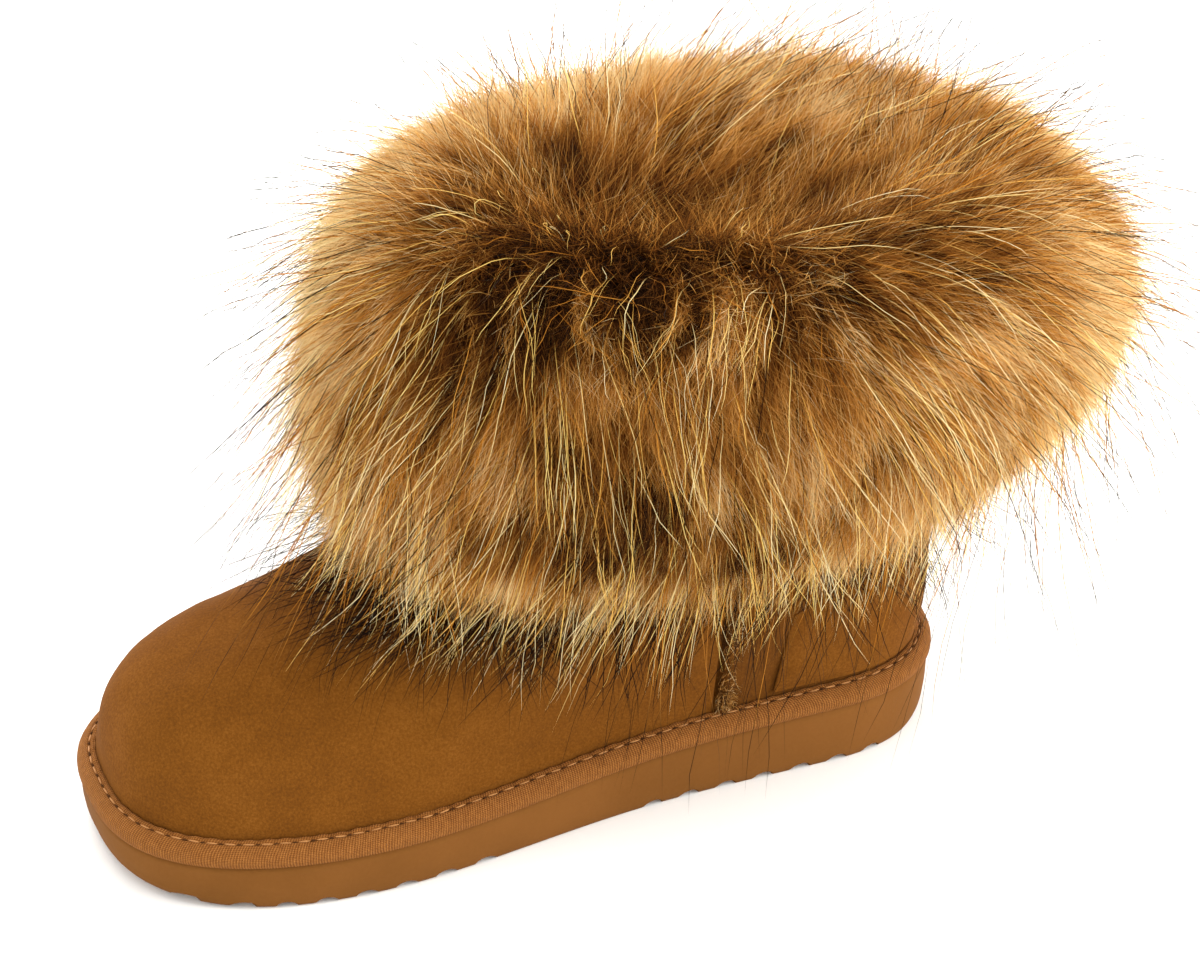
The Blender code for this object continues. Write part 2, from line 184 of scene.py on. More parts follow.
def through(at, places, values):  # a smooth curve through these values
    at, places, values = (np.asarray(v, float) for v in (at, places, values))
    run = np.diff(places)
    slope = np.diff(values) / run
    inner = (slope[:-1] * run[1:] + slope[1:] * run[:-1]) / (run[1:] + run[:-1])
    lean = np.concatenate([slope[:1], inner, slope[-1:]])
    i = np.clip(np.searchsorted(places, at) - 1, 0, len(run) - 1)
    t = np.clip((at - places[i]) / run[i], 0, 1)
    start = (1 + 2 * t) * values[i] + t * run[i] * lean[i]
    end = (3 - 2 * t) * values[i + 1] + (t - 1) * run[i] * lean[i + 1]
    return (1 - t) ** 2 * start + t**2 * end


def endRound(share, length, power):  # from 0 at the end to 1 this far in
    u = np.clip(1 - np.asarray(share, float) / length, 0, 1)
    return (1 - u**power) ** (1 / power)


def unit(vectors):
    return vectors / np.maximum(np.linalg.norm(vectors, axis=-1, keepdims=True), 1e-12)


def softNoise(points, size, seed):  # smooth bumps about this wide, from -1 to 1, the same on each run
    random = np.random.default_rng(seed)
    waves = 14
    ways = unit(random.normal(size=(waves, points.shape[-1])))
    turns = ways * (2 * np.pi / size * random.uniform(0.6, 1.5, (waves, 1)))
    phase = random.uniform(0, 2 * np.pi, waves)
    return np.clip(np.sin(points @ turns.T + phase).sum(-1) / math.sqrt(waves) * 0.9, -1, 1)


# The last, in the same sizes as the frame's own pieces

last = {
    "length": 0.268,  # over the binding tape
    "soleFore": 0.0156,
    "soleHeel": 0.0206,
    "wedge": (-0.0536, 0.0938),
    "wall": 0.007,
    "collarHeight": 0.163,
    "collarDrop": 0.004,
    "shaftFront": 0.009,
    "shaftHalf": 0.043,
    "shaftPower": 2.3,
    "shaftBlend": (0.055, 0.112),
    "upperInset": 0.0058,  # from the tape's outer edge
    "archPower": 2.35,
    "toeRound": (0.042, 2.94),  # seen from the side: length, power
    "toeShift": (0.0014, 0.35),  # to the outer side, over this share of the length
    "toePlan": ((0.36, 2.54), (0.36, 2.80)),  # outer and inner side: share of the length, power
    "heelPlan": (0.17, 2.5),
    "toeSpring": (0.0045, -0.086),  # how high, from where
    "heelSpring": (0.0030, 0.112),
    "leanFrom": 0.060,
    "steps": 2400,  # points round the plan
    "ridgeSteps": 1600,
    "riseSteps": 400,
}
half = last["length"] / 2
planRows = [  # share of the length from the toe, outer and inner half width
    (0.00, 0.05796, 0.05101),
    (0.33, 0.0552, 0.0563),
    (0.62, 0.0445, 0.0391),
    (0.86, 0.0429, 0.0429),
    (1.00, 0.0416, 0.0416),
]
ridgeRows = [  # y and height above the sole's top, before the toe is rounded
    (-0.1284, 0.0461),
    (-0.105, 0.0463),
    (-0.085, 0.0507),
    (-0.065, 0.0551),
    (-0.045, 0.0629),
    (-0.025, 0.0735),
    (-0.010, 0.0880),
    (0.000, 0.1100),
    (0.009, 0.1500),
    (0.016, 0.2200),
]
backRows = [  # height above the sole's top, lean to the rear
    (0.000, 0.0000),
    (0.009, 0.0000),
    (0.021, 0.0013),
    (0.045, 0.0016),
    (0.085, 0.0000),
    (0.120, -0.0008),
    (0.150, -0.0004),
]


def column(rows, index):
    return [row[index] for row in rows]


def centreLine(y):
    shift, share = last["toeShift"]
    return shift * np.clip(1 - (np.asarray(y, float) + half) / last["length"] / share, 0, 1) ** 2


def planEdge():  # the tape's outer edge, anticlockwise from the toe
    y = -half * np.cos(np.linspace(0, np.pi, last["steps"] // 2 + 1))
    share = (y + half) / last["length"]
    heel = endRound(1 - share, *last["heelPlan"])
    sides = []
    for way, widths, toe in zip((1, -1), (1, 2), last["toePlan"]):
        wide = through(share, column(planRows, 0), column(planRows, widths)) * heel * endRound(share, *toe)
        sides.append(np.stack([centreLine(y) + way * wide, y], 1))
    return np.concatenate([sides[0], sides[1][-2:0:-1]])


def planSides(inset):  # the edge moved inwards: its outer side and its inner side
    edge = planEdge()
    along = unit(np.roll(edge, -1, 0) - np.roll(edge, 1, 0))
    moved = edge - inset * np.stack([along[:, 1], -along[:, 0]], 1)
    middle = len(edge) // 2
    return moved[: middle + 1], np.concatenate([moved[middle:], moved[:1]])[::-1]


def planRing(inset, steps):  # points round the plan, with the same y on both sides
    right, left = planSides(inset)
    y = -(half - inset) * np.cos(np.linspace(0, np.pi, steps // 2 + 1))
    outer = np.interp(y, right[:, 1], right[:, 0])
    inner = np.interp(y, left[:, 1], left[:, 0])
    tip = (outer + inner) / 2
    outer[[0, -1]] = inner[[0, -1]] = tip[[0, -1]]
    return np.concatenate([np.stack([outer, y], 1), np.stack([inner, y], 1)[-2:0:-1]])


def soleTop(y):
    return last["soleFore"] + (last["soleHeel"] - last["soleFore"]) * smoothStep(y, *last["wedge"])


def soleBottom(y):
    (toeHigh, toeFrom), (heelHigh, heelFrom) = last["toeSpring"], last["heelSpring"]
    spring = toeHigh * np.clip((toeFrom - np.asarray(y, float)) / (half + toeFrom), 0, 1) ** 2
    return spring + heelHigh * smoothStep(y, heelFrom, half)


def ridgeHeight(y):
    length, power = last["toeRound"]
    rounding = endRound(y + half - last["upperInset"], length, power)
    return through(y, column(ridgeRows, 0), column(ridgeRows, 1)) * rounding


def ridgeLine():  # y, height and length so far, from the toe to the collar
    tip = -half + last["upperInset"]
    y = tip + (last["shaftFront"] - tip) * crowdedEnds(last["ridgeSteps"])
    height = ridgeHeight(y)
    top = last["collarHeight"] - soleTop(last["shaftFront"])
    keep = height < top
    y, height = np.append(y[keep], np.interp(top, height, y)), np.append(height[keep], top)
    return y, height, np.concatenate([[0], np.cumsum(np.hypot(np.diff(y), np.diff(height)))])


ridge = ridgeLine()
edgeSides = planSides(last["upperInset"])


def halfWidthAt(y, height, frontY, backY, side):
    edge = edgeSides[0 if side > 0 else 1]
    middle, heelEdge = centreLine(y), half - last["upperInset"]
    footY = y - (backY - heelEdge) * smoothStep(y, last["leanFrom"], heelEdge)
    wide = np.abs(np.interp(footY, edge[:, 1], edge[:, 0]) - middle)
    fill = np.clip(height / np.maximum(ridgeHeight(y), 1e-6), 0, 1)
    foot = wide * (1 - fill ** last["archPower"]) ** (1 / last["archPower"])
    across = np.clip((y - frontY) / (backY - frontY), 0, 1)
    oval = (1 - np.abs(2 * across - 1) ** last["shaftPower"]) ** (1 / last["shaftPower"])
    share = smoothStep(height, *last["shaftBlend"])
    return middle + side * (foot * (1 - share) + last["shaftHalf"] * oval * share)


def upperPoint(angle, rise):  # angle 0 at the ridge, pi at the back; rise 0 at the sole, 1 at the collar
    angle, rise = np.broadcast_arrays(np.asarray(angle, float), np.asarray(rise, float))
    ridgeY, ridgeZ, length = ridge
    frontY = np.interp(rise * length[-1], length, ridgeY)
    frontHeight = np.interp(rise * length[-1], length, ridgeZ)
    backFull = last["collarHeight"] - last["collarDrop"] - last["soleHeel"]
    backHeight = backFull * (0.5 * rise + 0.5 * frontHeight / ridgeZ[-1])
    share = (1 - np.cos(angle)) / 2
    height = frontHeight + (backHeight - frontHeight) * share
    backY = half - last["upperInset"] + through(backHeight, column(backRows, 0), column(backRows, 1))
    y = frontY + (backY - frontY) * share
    levelFront = np.interp(height, ridgeZ, ridgeY)
    outer = halfWidthAt(y, height, levelFront, backY, 1)
    inner = halfWidthAt(y, height, levelFront, backY, -1)
    x = np.where(np.sin(angle) >= 0, outer, inner)
    x = np.where(np.abs(np.sin(angle)) < 1e-9, centreLine(y), x)
    return np.stack([x, y, height + soleTop(y)], -1)


def upperNormal(angle, rise):
    step = 0.02
    around = upperPoint(angle + step, rise) - upperPoint(angle - step, rise)
    up = upperPoint(angle, np.clip(rise + step, 0, 1)) - upperPoint(angle, np.clip(rise - step, 0, 1))
    return unit(np.cross(around, up))


def upperOffset(angle, rise, out, level=False):  # this far outside the upper
    normal = upperNormal(angle, rise)
    if level:
        normal[..., 2] = 0
        normal = unit(normal)
    return upperPoint(angle, rise) + np.asarray(out)[..., None] * normal


def angleAt(y, rise):  # where the upper passes y, on its outer side
    front = upperPoint(0.0 * rise, rise)[..., 1]
    back = upperPoint(np.pi + 0.0 * rise, rise)[..., 1]
    return np.arccos(np.clip(1 - 2 * (y - front) / (back - front), -1, 1))


def riseFor(angle, height, fromSole=False):  # where the upper reaches a height over the floor or the sole
    rises = np.linspace(0, 1, last["riseSteps"])
    points = upperPoint(np.full(len(rises), angle), rises)
    base = soleTop(points[:, 1]) if fromSole else 0.0
    return float(np.interp(height, points[:, 2] - base, rises))


def riseAtBack(height):
    return riseFor(np.pi, height, True)


# Stage: pale floor, soft light and the camera

stage = {
    "target": (0.0, 0.0278, 0.0885),
    "azimuth": 67.75,  # degrees round from the toe to the outer side
    "elevation": 33.7,
    "distance": 1.44,
    "roll": 1.17,
    "lens": 145.05,
    "floorSize": 6.0,
    "lights": (  # name, place, size, watts, colour
        ("overhead", (0.1, 0.2, 1.5), 1.6, 9.0, "#fffaf2"),
        ("toe window", (0.3, -1.5, 1.0), 1.2, 5.0, "#fffdf8"),
        ("rear window", (-1.4, 0.1, 0.9), 1.3, 21.0, "#fffdf8"),
        ("heel window", (0.8, 1.4, 0.7), 1.3, 26.0, "#fffdf8"),
    ),
    "aim": (0, 0.03, 0.08),  # where the lights point
    "world": 1.45,
}


def lookAt(thing, place, target, roll=0.0):
    turn = (Vector(place) - Vector(target)).to_track_quat("Z", "Y")
    thing.location = place
    thing.rotation_mode = "QUATERNION"
    thing.rotation_quaternion = turn @ Quaternion((0, 0, 1), roll)


def makeStage():
    scene = bpy.context.scene
    scene.view_settings.view_transform = "Standard"
    a, e = math.radians(stage["azimuth"]), math.radians(stage["elevation"])
    back = Vector((math.sin(a) * math.cos(e), -math.cos(a) * math.cos(e), math.sin(e)))
    camera = bpy.data.objects.new("camera", bpy.data.cameras.new("camera"))
    scene.collection.objects.link(camera)
    camera.data.lens = stage["lens"]
    target = Vector(stage["target"])
    lookAt(camera, target + stage["distance"] * back, target, math.radians(stage["roll"]))
    scene.camera = camera

    for name, place, size, watts, colour in stage["lights"]:
        light = bpy.data.lights.new(name, "AREA")
        light.shape, light.size, light.energy = "DISK", size, watts
        light.color = hexColour(colour)[:3]
        made = bpy.data.objects.new(name, light)
        scene.collection.objects.link(made)
        lookAt(made, place, stage["aim"])

    world = bpy.data.worlds.new("white tent")
    world.use_nodes = True
    background = world.node_tree.nodes["Background"]
    background.inputs["Color"].default_value = hexColour("#ffffff")
    background.inputs["Strength"].default_value = stage["world"]
    scene.world = world

    size = stage["floorSize"] / 2
    corners = [(x * size, y * size, 0) for x, y in ((-1, -1), (1, -1), (1, 1), (-1, 1))]
    paper, _, _ = newMaterial("white paper floor", Base_Color="#fafaf8", Roughness=0.9)
    newPiece("floor", corners, np.array([[0, 1, 2, 3]]), paper)
    print("stage made")


# Suede: brushed hide, so no gloss, a fine nap and soft cloudy strokes where it was rubbed

suede = {
    "dark": "#56310a",
    "mid": "#653b0d",
    "light": "#744715",
    "shadow": "#3c2008",
    "quarterPaintedShade": 0.35,  # how far the part behind the seam goes towards the shadow colour: partly its own darker hide, partly painted shade
    "cloud": 0.026,  # metres across
    "stroke": 0.007,
    "nap": 0.0008,  # coarser than the real nap, so that it shows
    "relief": 0.00022,
}


def suedeMaterial(name, darker=0.0):
    material, tree, shader = newMaterial(name, Roughness=0.95, Specular_IOR_Level=0.08)
    setSockets(tree, shader, {"Sheen Weight": 0.06, "Sheen Roughness": 0.5, "Sheen Tint": "#d08a40"})
    place = addNode(tree, "ShaderNodeTexCoord").outputs["Object"]
    brushed = addNode(tree, "ShaderNodeMapping", (), {"Vector": place, "Scale": (1.0, 0.5, 1.0)})
    sockets = {"Vector": place, "Scale": 1 / suede["cloud"], "Detail": 4.0, "Roughness": 0.6}
    cloud = addNode(tree, "ShaderNodeTexNoise", (), sockets)
    sockets = {"Vector": brushed, "Scale": 1 / suede["stroke"], "Detail": 3.0}
    stroke = addNode(tree, "ShaderNodeTexNoise", (), sockets)
    sockets = {"Vector": place, "Scale": 1 / suede["nap"], "Detail": 2.0, "Roughness": 0.7}
    nap = addNode(tree, "ShaderNodeTexNoise", (), sockets)
    strokes = addNode(tree, "ShaderNodeMath", timesPlus, {0: stroke, 1: 0.16, 2: 0.0})
    naps = addNode(tree, "ShaderNodeMath", timesPlus, {0: nap, 1: 0.56, 2: strokes})
    total = addNode(tree, "ShaderNodeMath", timesPlus, {0: cloud, 1: 0.28, 2: naps})
    stops = [(0.34, suede["dark"]), (0.5, suede["mid"]), (0.68, suede["light"])]
    colour = setStops(addNode(tree, "ShaderNodeValToRGB", (), {"Fac": total}), stops)
    # darker mixes in the shadow colour: painted shade for the quarter
    shade = addNode(tree, "ShaderNodeMix", {"data_type": "RGBA"}, {0: darker, 6: colour, 7: suede["shadow"]})
    relief = addNode(tree, "ShaderNodeMath", timesPlus, {0: stroke, 1: 0.35, 2: nap})
    sockets = {"Height": relief, "Distance": suede["relief"], "Strength": 0.5}
    bump = addNode(tree, "ShaderNodeBump", (), sockets)
    setSockets(tree, shader, {"Base Color": shade.outputs[2], "Normal": bump})
    return material


fleece = {  # shorn wool: matt curls, lighter on their tops
    "curl": 0.0028,
    "fuzz": 0.0009,
    "relief": 0.0016,
    "stops": [(0.35, "#6f5138"), (0.7, "#b08d63"), (1.0, "#d8bd92")],
}


def fleeceMaterial():
    material, tree, shader = newMaterial("shorn sheepskin fleece", Roughness=0.95, Specular_IOR_Level=0.15)
    setSockets(tree, shader, {"Sheen Weight": 0.3, "Sheen Roughness": 0.5})
    place = addNode(tree, "ShaderNodeTexCoord").outputs["Object"]
    curls = addNode(tree, "ShaderNodeTexVoronoi", (), {"Vector": place, "Scale": 1 / fleece["curl"]})
    sockets = {"Vector": place, "Scale": 1 / fleece["fuzz"], "Detail": 4.0}
    fuzzy = addNode(tree, "ShaderNodeTexNoise", (), sockets)
    depth = addNode(tree, "ShaderNodeMath", timesPlus, {0: curls, 1: 0.6, 2: fuzzy})
    colour = setStops(addNode(tree, "ShaderNodeValToRGB", (), {"Fac": depth}), fleece["stops"])
    sockets = {"Height": depth, "Distance": fleece["relief"], "Strength": 0.8}
    bump = addNode(tree, "ShaderNodeBump", (), sockets)
    setSockets(tree, shader, {"Base Color": colour, "Normal": bump})
    return material


# Upper: one wall of sheepskin, outside and inside, with open side seams and pressed-in creases

upper = {
    "around": (64, 52),  # columns from the ridge to the seam, from the seam to the back
    "rings": 92,
    "innerRings": 24,
    "foot": 0.0003,  # keeps its lowest edge off the sole
    "seamY": 0.0520,
    "seamLean": 0.08,
    "seamFrom": 0.028,  # the height at which seamY holds
    "seamAngle": 1.2,  # near the seam, to look up its height
    "seamSteps": (0, 0.5, 0.8, 1.1, 1.5, 2.1, 2.9, 4.2, 6),  # mm to each side of the seam
    "gap": (0.000455, 0.00195, 0.0034),  # half its width at the floor and at the lips, depth
    "lip": (0.0018, 0.0012, 0.00035),  # its middle off the seam, width, height
    "fade": (0.0, 0.06),  # from which to which rise its unevenness comes in
    "seamFade": (0.02, 0.08),
    "swells": ((0.00035, 0.045, 3), (0.00012, 0.014, 4)),  # height, width, seed
    "creases": (  # y and z of the middle, run towards the toe and up, length, width, depth; minus is a ridge
        (-0.052, 0.050, (0.5, 0.9), 0.030, 0.011, 0.0011),
        (-0.040, 0.044, (0.3, 1.0), 0.026, 0.009, -0.0009),
        (-0.075, 0.052, (0.2, 1.0), 0.034, 0.012, 0.0006),
        (0.010, 0.046, (-0.3, 1.0), 0.028, 0.012, 0.0008),
        (0.030, 0.050, (-0.2, 1.0), 0.030, 0.010, -0.0007),
        (0.095, 0.040, (1.0, 0.2), 0.030, 0.008, 0.0006),
    ),
}


def seamPlace(z):
    return upper["seamY"] + upper["seamLean"] * (z - upper["seamFrom"])


def upperRelief(points):  # soft swells, and troughs pressed into the hide
    relief = sum(high * softNoise(points, wide, seed) for high, wide, seed in upper["swells"])
    for y, z, (runY, runZ), length, width, depth in upper["creases"]:
        run = unit(np.array([runY, runZ], float))
        away = points[..., 1:] - (y, z)
        along = away @ run
        across = away @ np.array([-run[1], run[0]])
        relief = relief - depth * np.exp(-((along / length) ** 2) - (across / width) ** 2)
    return relief


def upperColumns(rise):  # the angles of one ring, closest together at the side seams
    at = upperPoint(np.array([upper["seamAngle"]]), np.array([rise]))[0, 2]
    steps = np.array(upper["seamSteps"]) / 1000
    steps = np.concatenate([-steps[:0:-1], steps])
    near = angleAt(seamPlace(at) + steps, np.full(len(steps), rise))
    first = np.linspace(0, near[0], upper["around"][0], endpoint=False)
    rest = np.linspace(near[-1], np.pi, upper["around"][1] + 1)[1:]
    side = np.concatenate([first, near, rest])
    off = np.concatenate([np.full(len(first), -1.0), steps, np.full(len(rest), 1.0)])
    return np.concatenate([side, 2 * np.pi - side[-2:0:-1]]), np.concatenate([off, off[-2:0:-1]])


def makeUpper():
    floorHalf, lipHalf, gapDeep = upper["gap"]
    lipOff, lipWide, lipHigh = upper["lip"]
    outside, inside = [], []
    for rise in np.linspace(0, 1, upper["rings"]):
        angles, off = upperColumns(rise)
        rises = np.full(len(angles), rise)
        points = upperPoint(angles, rises)
        lip = lipHigh * np.exp(-(((np.abs(off) - lipOff) / lipWide) ** 2))
        cut = gapDeep * (1 - smoothStep(np.abs(off), floorHalf, lipHalf))
        seam = (lip - cut) * smoothStep(rise, *upper["seamFade"])
        out = upperRelief(points) * smoothStep(rise, *upper["fade"]) + seam
        points = points + out[:, None] * upperNormal(angles, rises)
        outside.append(points)
    for rise in np.linspace(0, 1, upper["innerRings"]):
        angles, _ = upperColumns(rise)
        inside.append(upperOffset(angles, np.full(len(angles), rise), -last["wall"], rise in (0, 1)))
    for ring in (outside[0], inside[0]):
        ring[:, 2] += upper["foot"]
    rings = outside + inside[::-1]
    columns = len(rings[0])
    faces = gridFaces(len(rings), columns, True, True)
    piece = newPiece("suede_upper", np.concatenate(rings), faces, suedeMaterial("chestnut suede"))
    piece.data.materials.append(suedeMaterial("chestnut suede, quarter in painted shade", suede["quarterPaintedShade"]))
    piece.data.materials.append(fleeceMaterial())
    ring, along = np.divmod(np.arange(len(faces)), columns)
    _, off = upperColumns(0.3)
    # behind the seam the suede is darker: partly its own hide, partly painted shade
    quarter = (off[along] > 0) & (ring < upper["rings"] - 1)
    inner = ring >= upper["rings"] - 1
    piece.data.polygons.foreach_set("material_index", np.where(inner, 2, quarter * 1).astype(np.int32))
    print("upper made")
    return join(piece, "upper")


# Outsole: moulded foam, matt and even, with fine pores and wavy grooves across the tread

outsole = {
    "steps": 240,
    "sideRings": 16,
    "inset": 0.0011,  # from the tape's outer edge
    "profile": (  # share of the height, inset past the sole's own
        (0.00, 0.0021),
        (0.05, 0.0013),
        (0.14, 0.0008),
        (0.50, 0.0001),
        (0.90, 0.0000),
        (0.96, 0.0003),
        (1.00, 0.0008),
    ),
    "grooveWide": 0.0070,
    "grooveDeep": 0.0024,
    "waveHigh": 0.0042,
    "waveLong": 0.024,
    "wavesEachSide": 3,
    "pitch": 0.0124,
    "fore": (-0.1149, 8),  # the first groove's place, how many
    "heel": (0.0300, 7),
    "arc": 9,  # points over a groove's rounded roof
    "sharp": 40,  # degrees, past which an edge stays crisp
    "lift": 0.00001,  # keeps the roof's ends off the sole's flat face
    "pore": 0.0011,  # metres across, coarser than real ones
    "cloud": 0.03,
    "stops": [(0.45, "#684014"), (0.9, "#73481b")],
}


def foamMaterial():
    material, tree, shader = newMaterial("tan moulded foam", Roughness=0.8, Specular_IOR_Level=0.12)
    place = addNode(tree, "ShaderNodeTexCoord").outputs["Object"]
    sockets = {"Vector": place, "Scale": 1 / outsole["pore"], "Detail": 3.0}
    pores = addNode(tree, "ShaderNodeTexNoise", (), sockets)
    cloud = addNode(tree, "ShaderNodeTexNoise", (), sockets | {"Scale": 1 / outsole["cloud"]})
    total = addNode(tree, "ShaderNodeMath", timesPlus, {0: pores, 1: 0.35, 2: cloud})
    colour = setStops(addNode(tree, "ShaderNodeValToRGB", (), {"Fac": total}), outsole["stops"])
    bump = addNode(tree, "ShaderNodeBump", (), {"Height": pores, "Distance": 0.00012, "Strength": 0.45})
    setSockets(tree, shader, {"Base Color": colour, "Normal": bump})
    return material


def lidFaces(first, count):  # closes a ring that starts at a tip, with strips between its two sides
    middle = count // 2
    faces = [[first, first + 1, first + count - 1]]
    for i in range(1, middle - 1):
        faces.append([first + i, first + i + 1, first + count - i - 1, first + count - i])
    return faces + [[first + middle - 1, first + middle, first + middle + 1]]


def grooveBar(centre):  # cuts one wavy groove with a rounded roof
    base = float(soleBottom(centre)) + outsole["lift"]
    deep, wide = outsole["grooveDeep"], outsole["grooveWide"] / 2
    turns = np.linspace(0, math.pi, outsole["arc"])
    rings = []
    for i in range(-2 * outsole["wavesEachSide"], 2 * outsole["wavesEachSide"] + 1):
        x, y = i * outsole["waveLong"] / 2, centre + outsole["waveHigh"] / 2 * (-1) ** i
        ring = [(x, y - wide, -deep), (x, y + wide, -deep)]
        rings.append(ring + [(x, y + wide * math.cos(t), base + deep * math.sin(t)) for t in turns])
    return np.array(rings)


def makeOutsole():
    shares = np.array(column(outsole["profile"], 0))
    insets = column(outsole["profile"], 1)
    rings = []
    for share in crowdedEnds(outsole["sideRings"]):
        ring = planRing(outsole["inset"] + float(np.interp(share, shares, insets)), outsole["steps"])
        low, high = soleBottom(ring[:, 1]), soleTop(ring[:, 1])
        rings.append(np.column_stack([ring, low + (high - low) * share]))
    count = outsole["steps"]
    faces = gridFaces(len(rings), count, False, True).tolist()
    faces += [face[::-1] for face in lidFaces(0, count)] + lidFaces((len(rings) - 1) * count, count)
    sole = newPiece("foam_outsole", np.concatenate(rings), faces, foamMaterial())

    points, faces, first = [], [], 0
    for start, number in (outsole["fore"], outsole["heel"]):
        for i in range(number):
            bar = grooveBar(start + i * outsole["pitch"])
            rows, columns = bar.shape[:2]
            faces += (gridFaces(rows, columns, False, True) + first).tolist() + endCaps(rows, columns, first)
            points.append(bar.reshape(-1, 3))
            first += rows * columns
    cutter = newPiece("grooves", np.concatenate(points), faces, sole.data.materials[0])
    cut = sole.modifiers.new("grooves", "BOOLEAN")
    cut.operation, cut.solver, cut.object = "DIFFERENCE", "EXACT", cutter
    applied(sole).set_sharp_from_angle(angle=math.radians(outsole["sharp"]))
    bpy.data.objects.remove(cutter, do_unlink=True)
    print("outsole made")
    return join(sole, "outsole")


# Binding tape: ribbed cotton tape folded over a cord, so a soft bulge with fine ribs across it

tape = {
    "steps": 720,
    "rows": (  # inset from the outer edge, height above the sole's top
        (0.00150, 0.0003),
        (0.00080, 0.0005),
        (0.00035, 0.0011),
        (0.00005, 0.0020),
        (0.00000, 0.0030),
        (0.00012, 0.0040),
        (0.00050, 0.0050),
        (0.00110, 0.0058),
        (0.00185, 0.0065),
        (0.00270, 0.0070),
        (0.00320, 0.0072),
        (0.00355, 0.0071),
        (0.00385, 0.0070),
        (0.00420, 0.0073),
        (0.00465, 0.0077),
        (0.00520, 0.0078),
        (0.00570, 0.0075),
        (0.00630, 0.0066),
        (0.00690, 0.0055),
        (0.00690, 0.0003),
    ),
    "foldHigh": 0.0065,  # from here up the tape turns over, and stitches reach it
    "middleInset": 0.003,
    "hiddenWide": 0.004,  # the strip underneath, for the weave's map
    "stitchInset": 0.00380,
    "stitchHeight": 0.0071,
    "stitchPitch": 0.0054,
    "pucker": (0.0051, 0.0008, 0.00050),  # dents beside the stitches: inset, width, depth
    "groove": (0.0004, 0.0003),  # along the stitches: width, depth
    "soft": (0.00012, 0.011, 31),  # unevenness: height, width, seed
    "softRise": (0.001, 0.003),  # none below the first height, all of it from the second
    "rib": 0.00080,  # coarser than real ribs, so that they show
    "weft": 0.00055,
    "cloud": 0.015,
    "fuzz": 0.0016,
    "stops": [(0.22, "#613712"), (0.5, "#7f4c1e"), (0.8, "#a26c34")],
}


def tapeMaterial():
    material, tree, shader = newMaterial(
        "ribbed cotton tape", Roughness=0.85, Specular_IOR_Level=0.12, Sheen_Weight=0.08, Sheen_Tint="#d89a50"
    )
    weave = addNode(tree, "ShaderNodeUVMap", {"uv_map": "weave"})
    parts = addNode(tree, "ShaderNodeSeparateXYZ", (), {"Vector": weave})
    place = addNode(tree, "ShaderNodeTexCoord").outputs["Object"]
    sockets = {"Vector": place, "Scale": 1 / tape["cloud"], "Detail": 3.0}
    cloud = addNode(tree, "ShaderNodeTexNoise", (), sockets)
    drift = addNode(tree, "ShaderNodeMath", timesPlus, {0: cloud, 1: 2.5, 2: parts.outputs[0]})
    waves = []
    for run in (drift.outputs[0], parts.outputs[1]):  # ribs across the tape, then wefts along it
        turn = addNode(tree, "ShaderNodeMath", {"operation": "MULTIPLY"}, {0: run, 1: 2 * math.pi})
        waves.append(addNode(tree, "ShaderNodeMath", {"operation": "SINE"}, {0: turn}))
    both = addNode(tree, "ShaderNodeMath", timesPlus, {0: waves[1], 1: 0.8, 2: waves[0]})
    sockets = {"Vector": place, "Scale": 1 / tape["fuzz"], "Detail": 4.0}
    fuzzy = addNode(tree, "ShaderNodeTexNoise", (), sockets)
    faint = addNode(tree, "ShaderNodeMath", timesPlus, {0: fuzzy, 1: 0.35, 2: 0.33})
    thread = addNode(tree, "ShaderNodeMath", timesPlus, {0: both, 1: 0.15, 2: faint})
    colour = setStops(addNode(tree, "ShaderNodeValToRGB", (), {"Fac": thread}), tape["stops"])
    bump = addNode(tree, "ShaderNodeBump", (), {"Height": both, "Distance": 0.00012, "Strength": 0.9})
    setSockets(tree, shader, {"Base Color": colour, "Normal": bump})
    return material


def tapeRing(inset, height):
    ring = planRing(inset, tape["steps"])
    return np.column_stack([ring, soleTop(ring[:, 1]) + height])


def stitchPath():  # evenly spaced along the groove that the stitches pull in
    ring = tapeRing(tape["stitchInset"], tape["stitchHeight"])
    ring = np.concatenate([ring, ring[:1]])
    far = lengthsAlong(ring)
    count = round(far[-1] / tape["stitchPitch"])
    places = np.linspace(0, far[-1], stitches["steps"] * count, endpoint=False)
    return np.stack([np.interp(places, far, ring[:, k]) for k in range(3)], 1), count


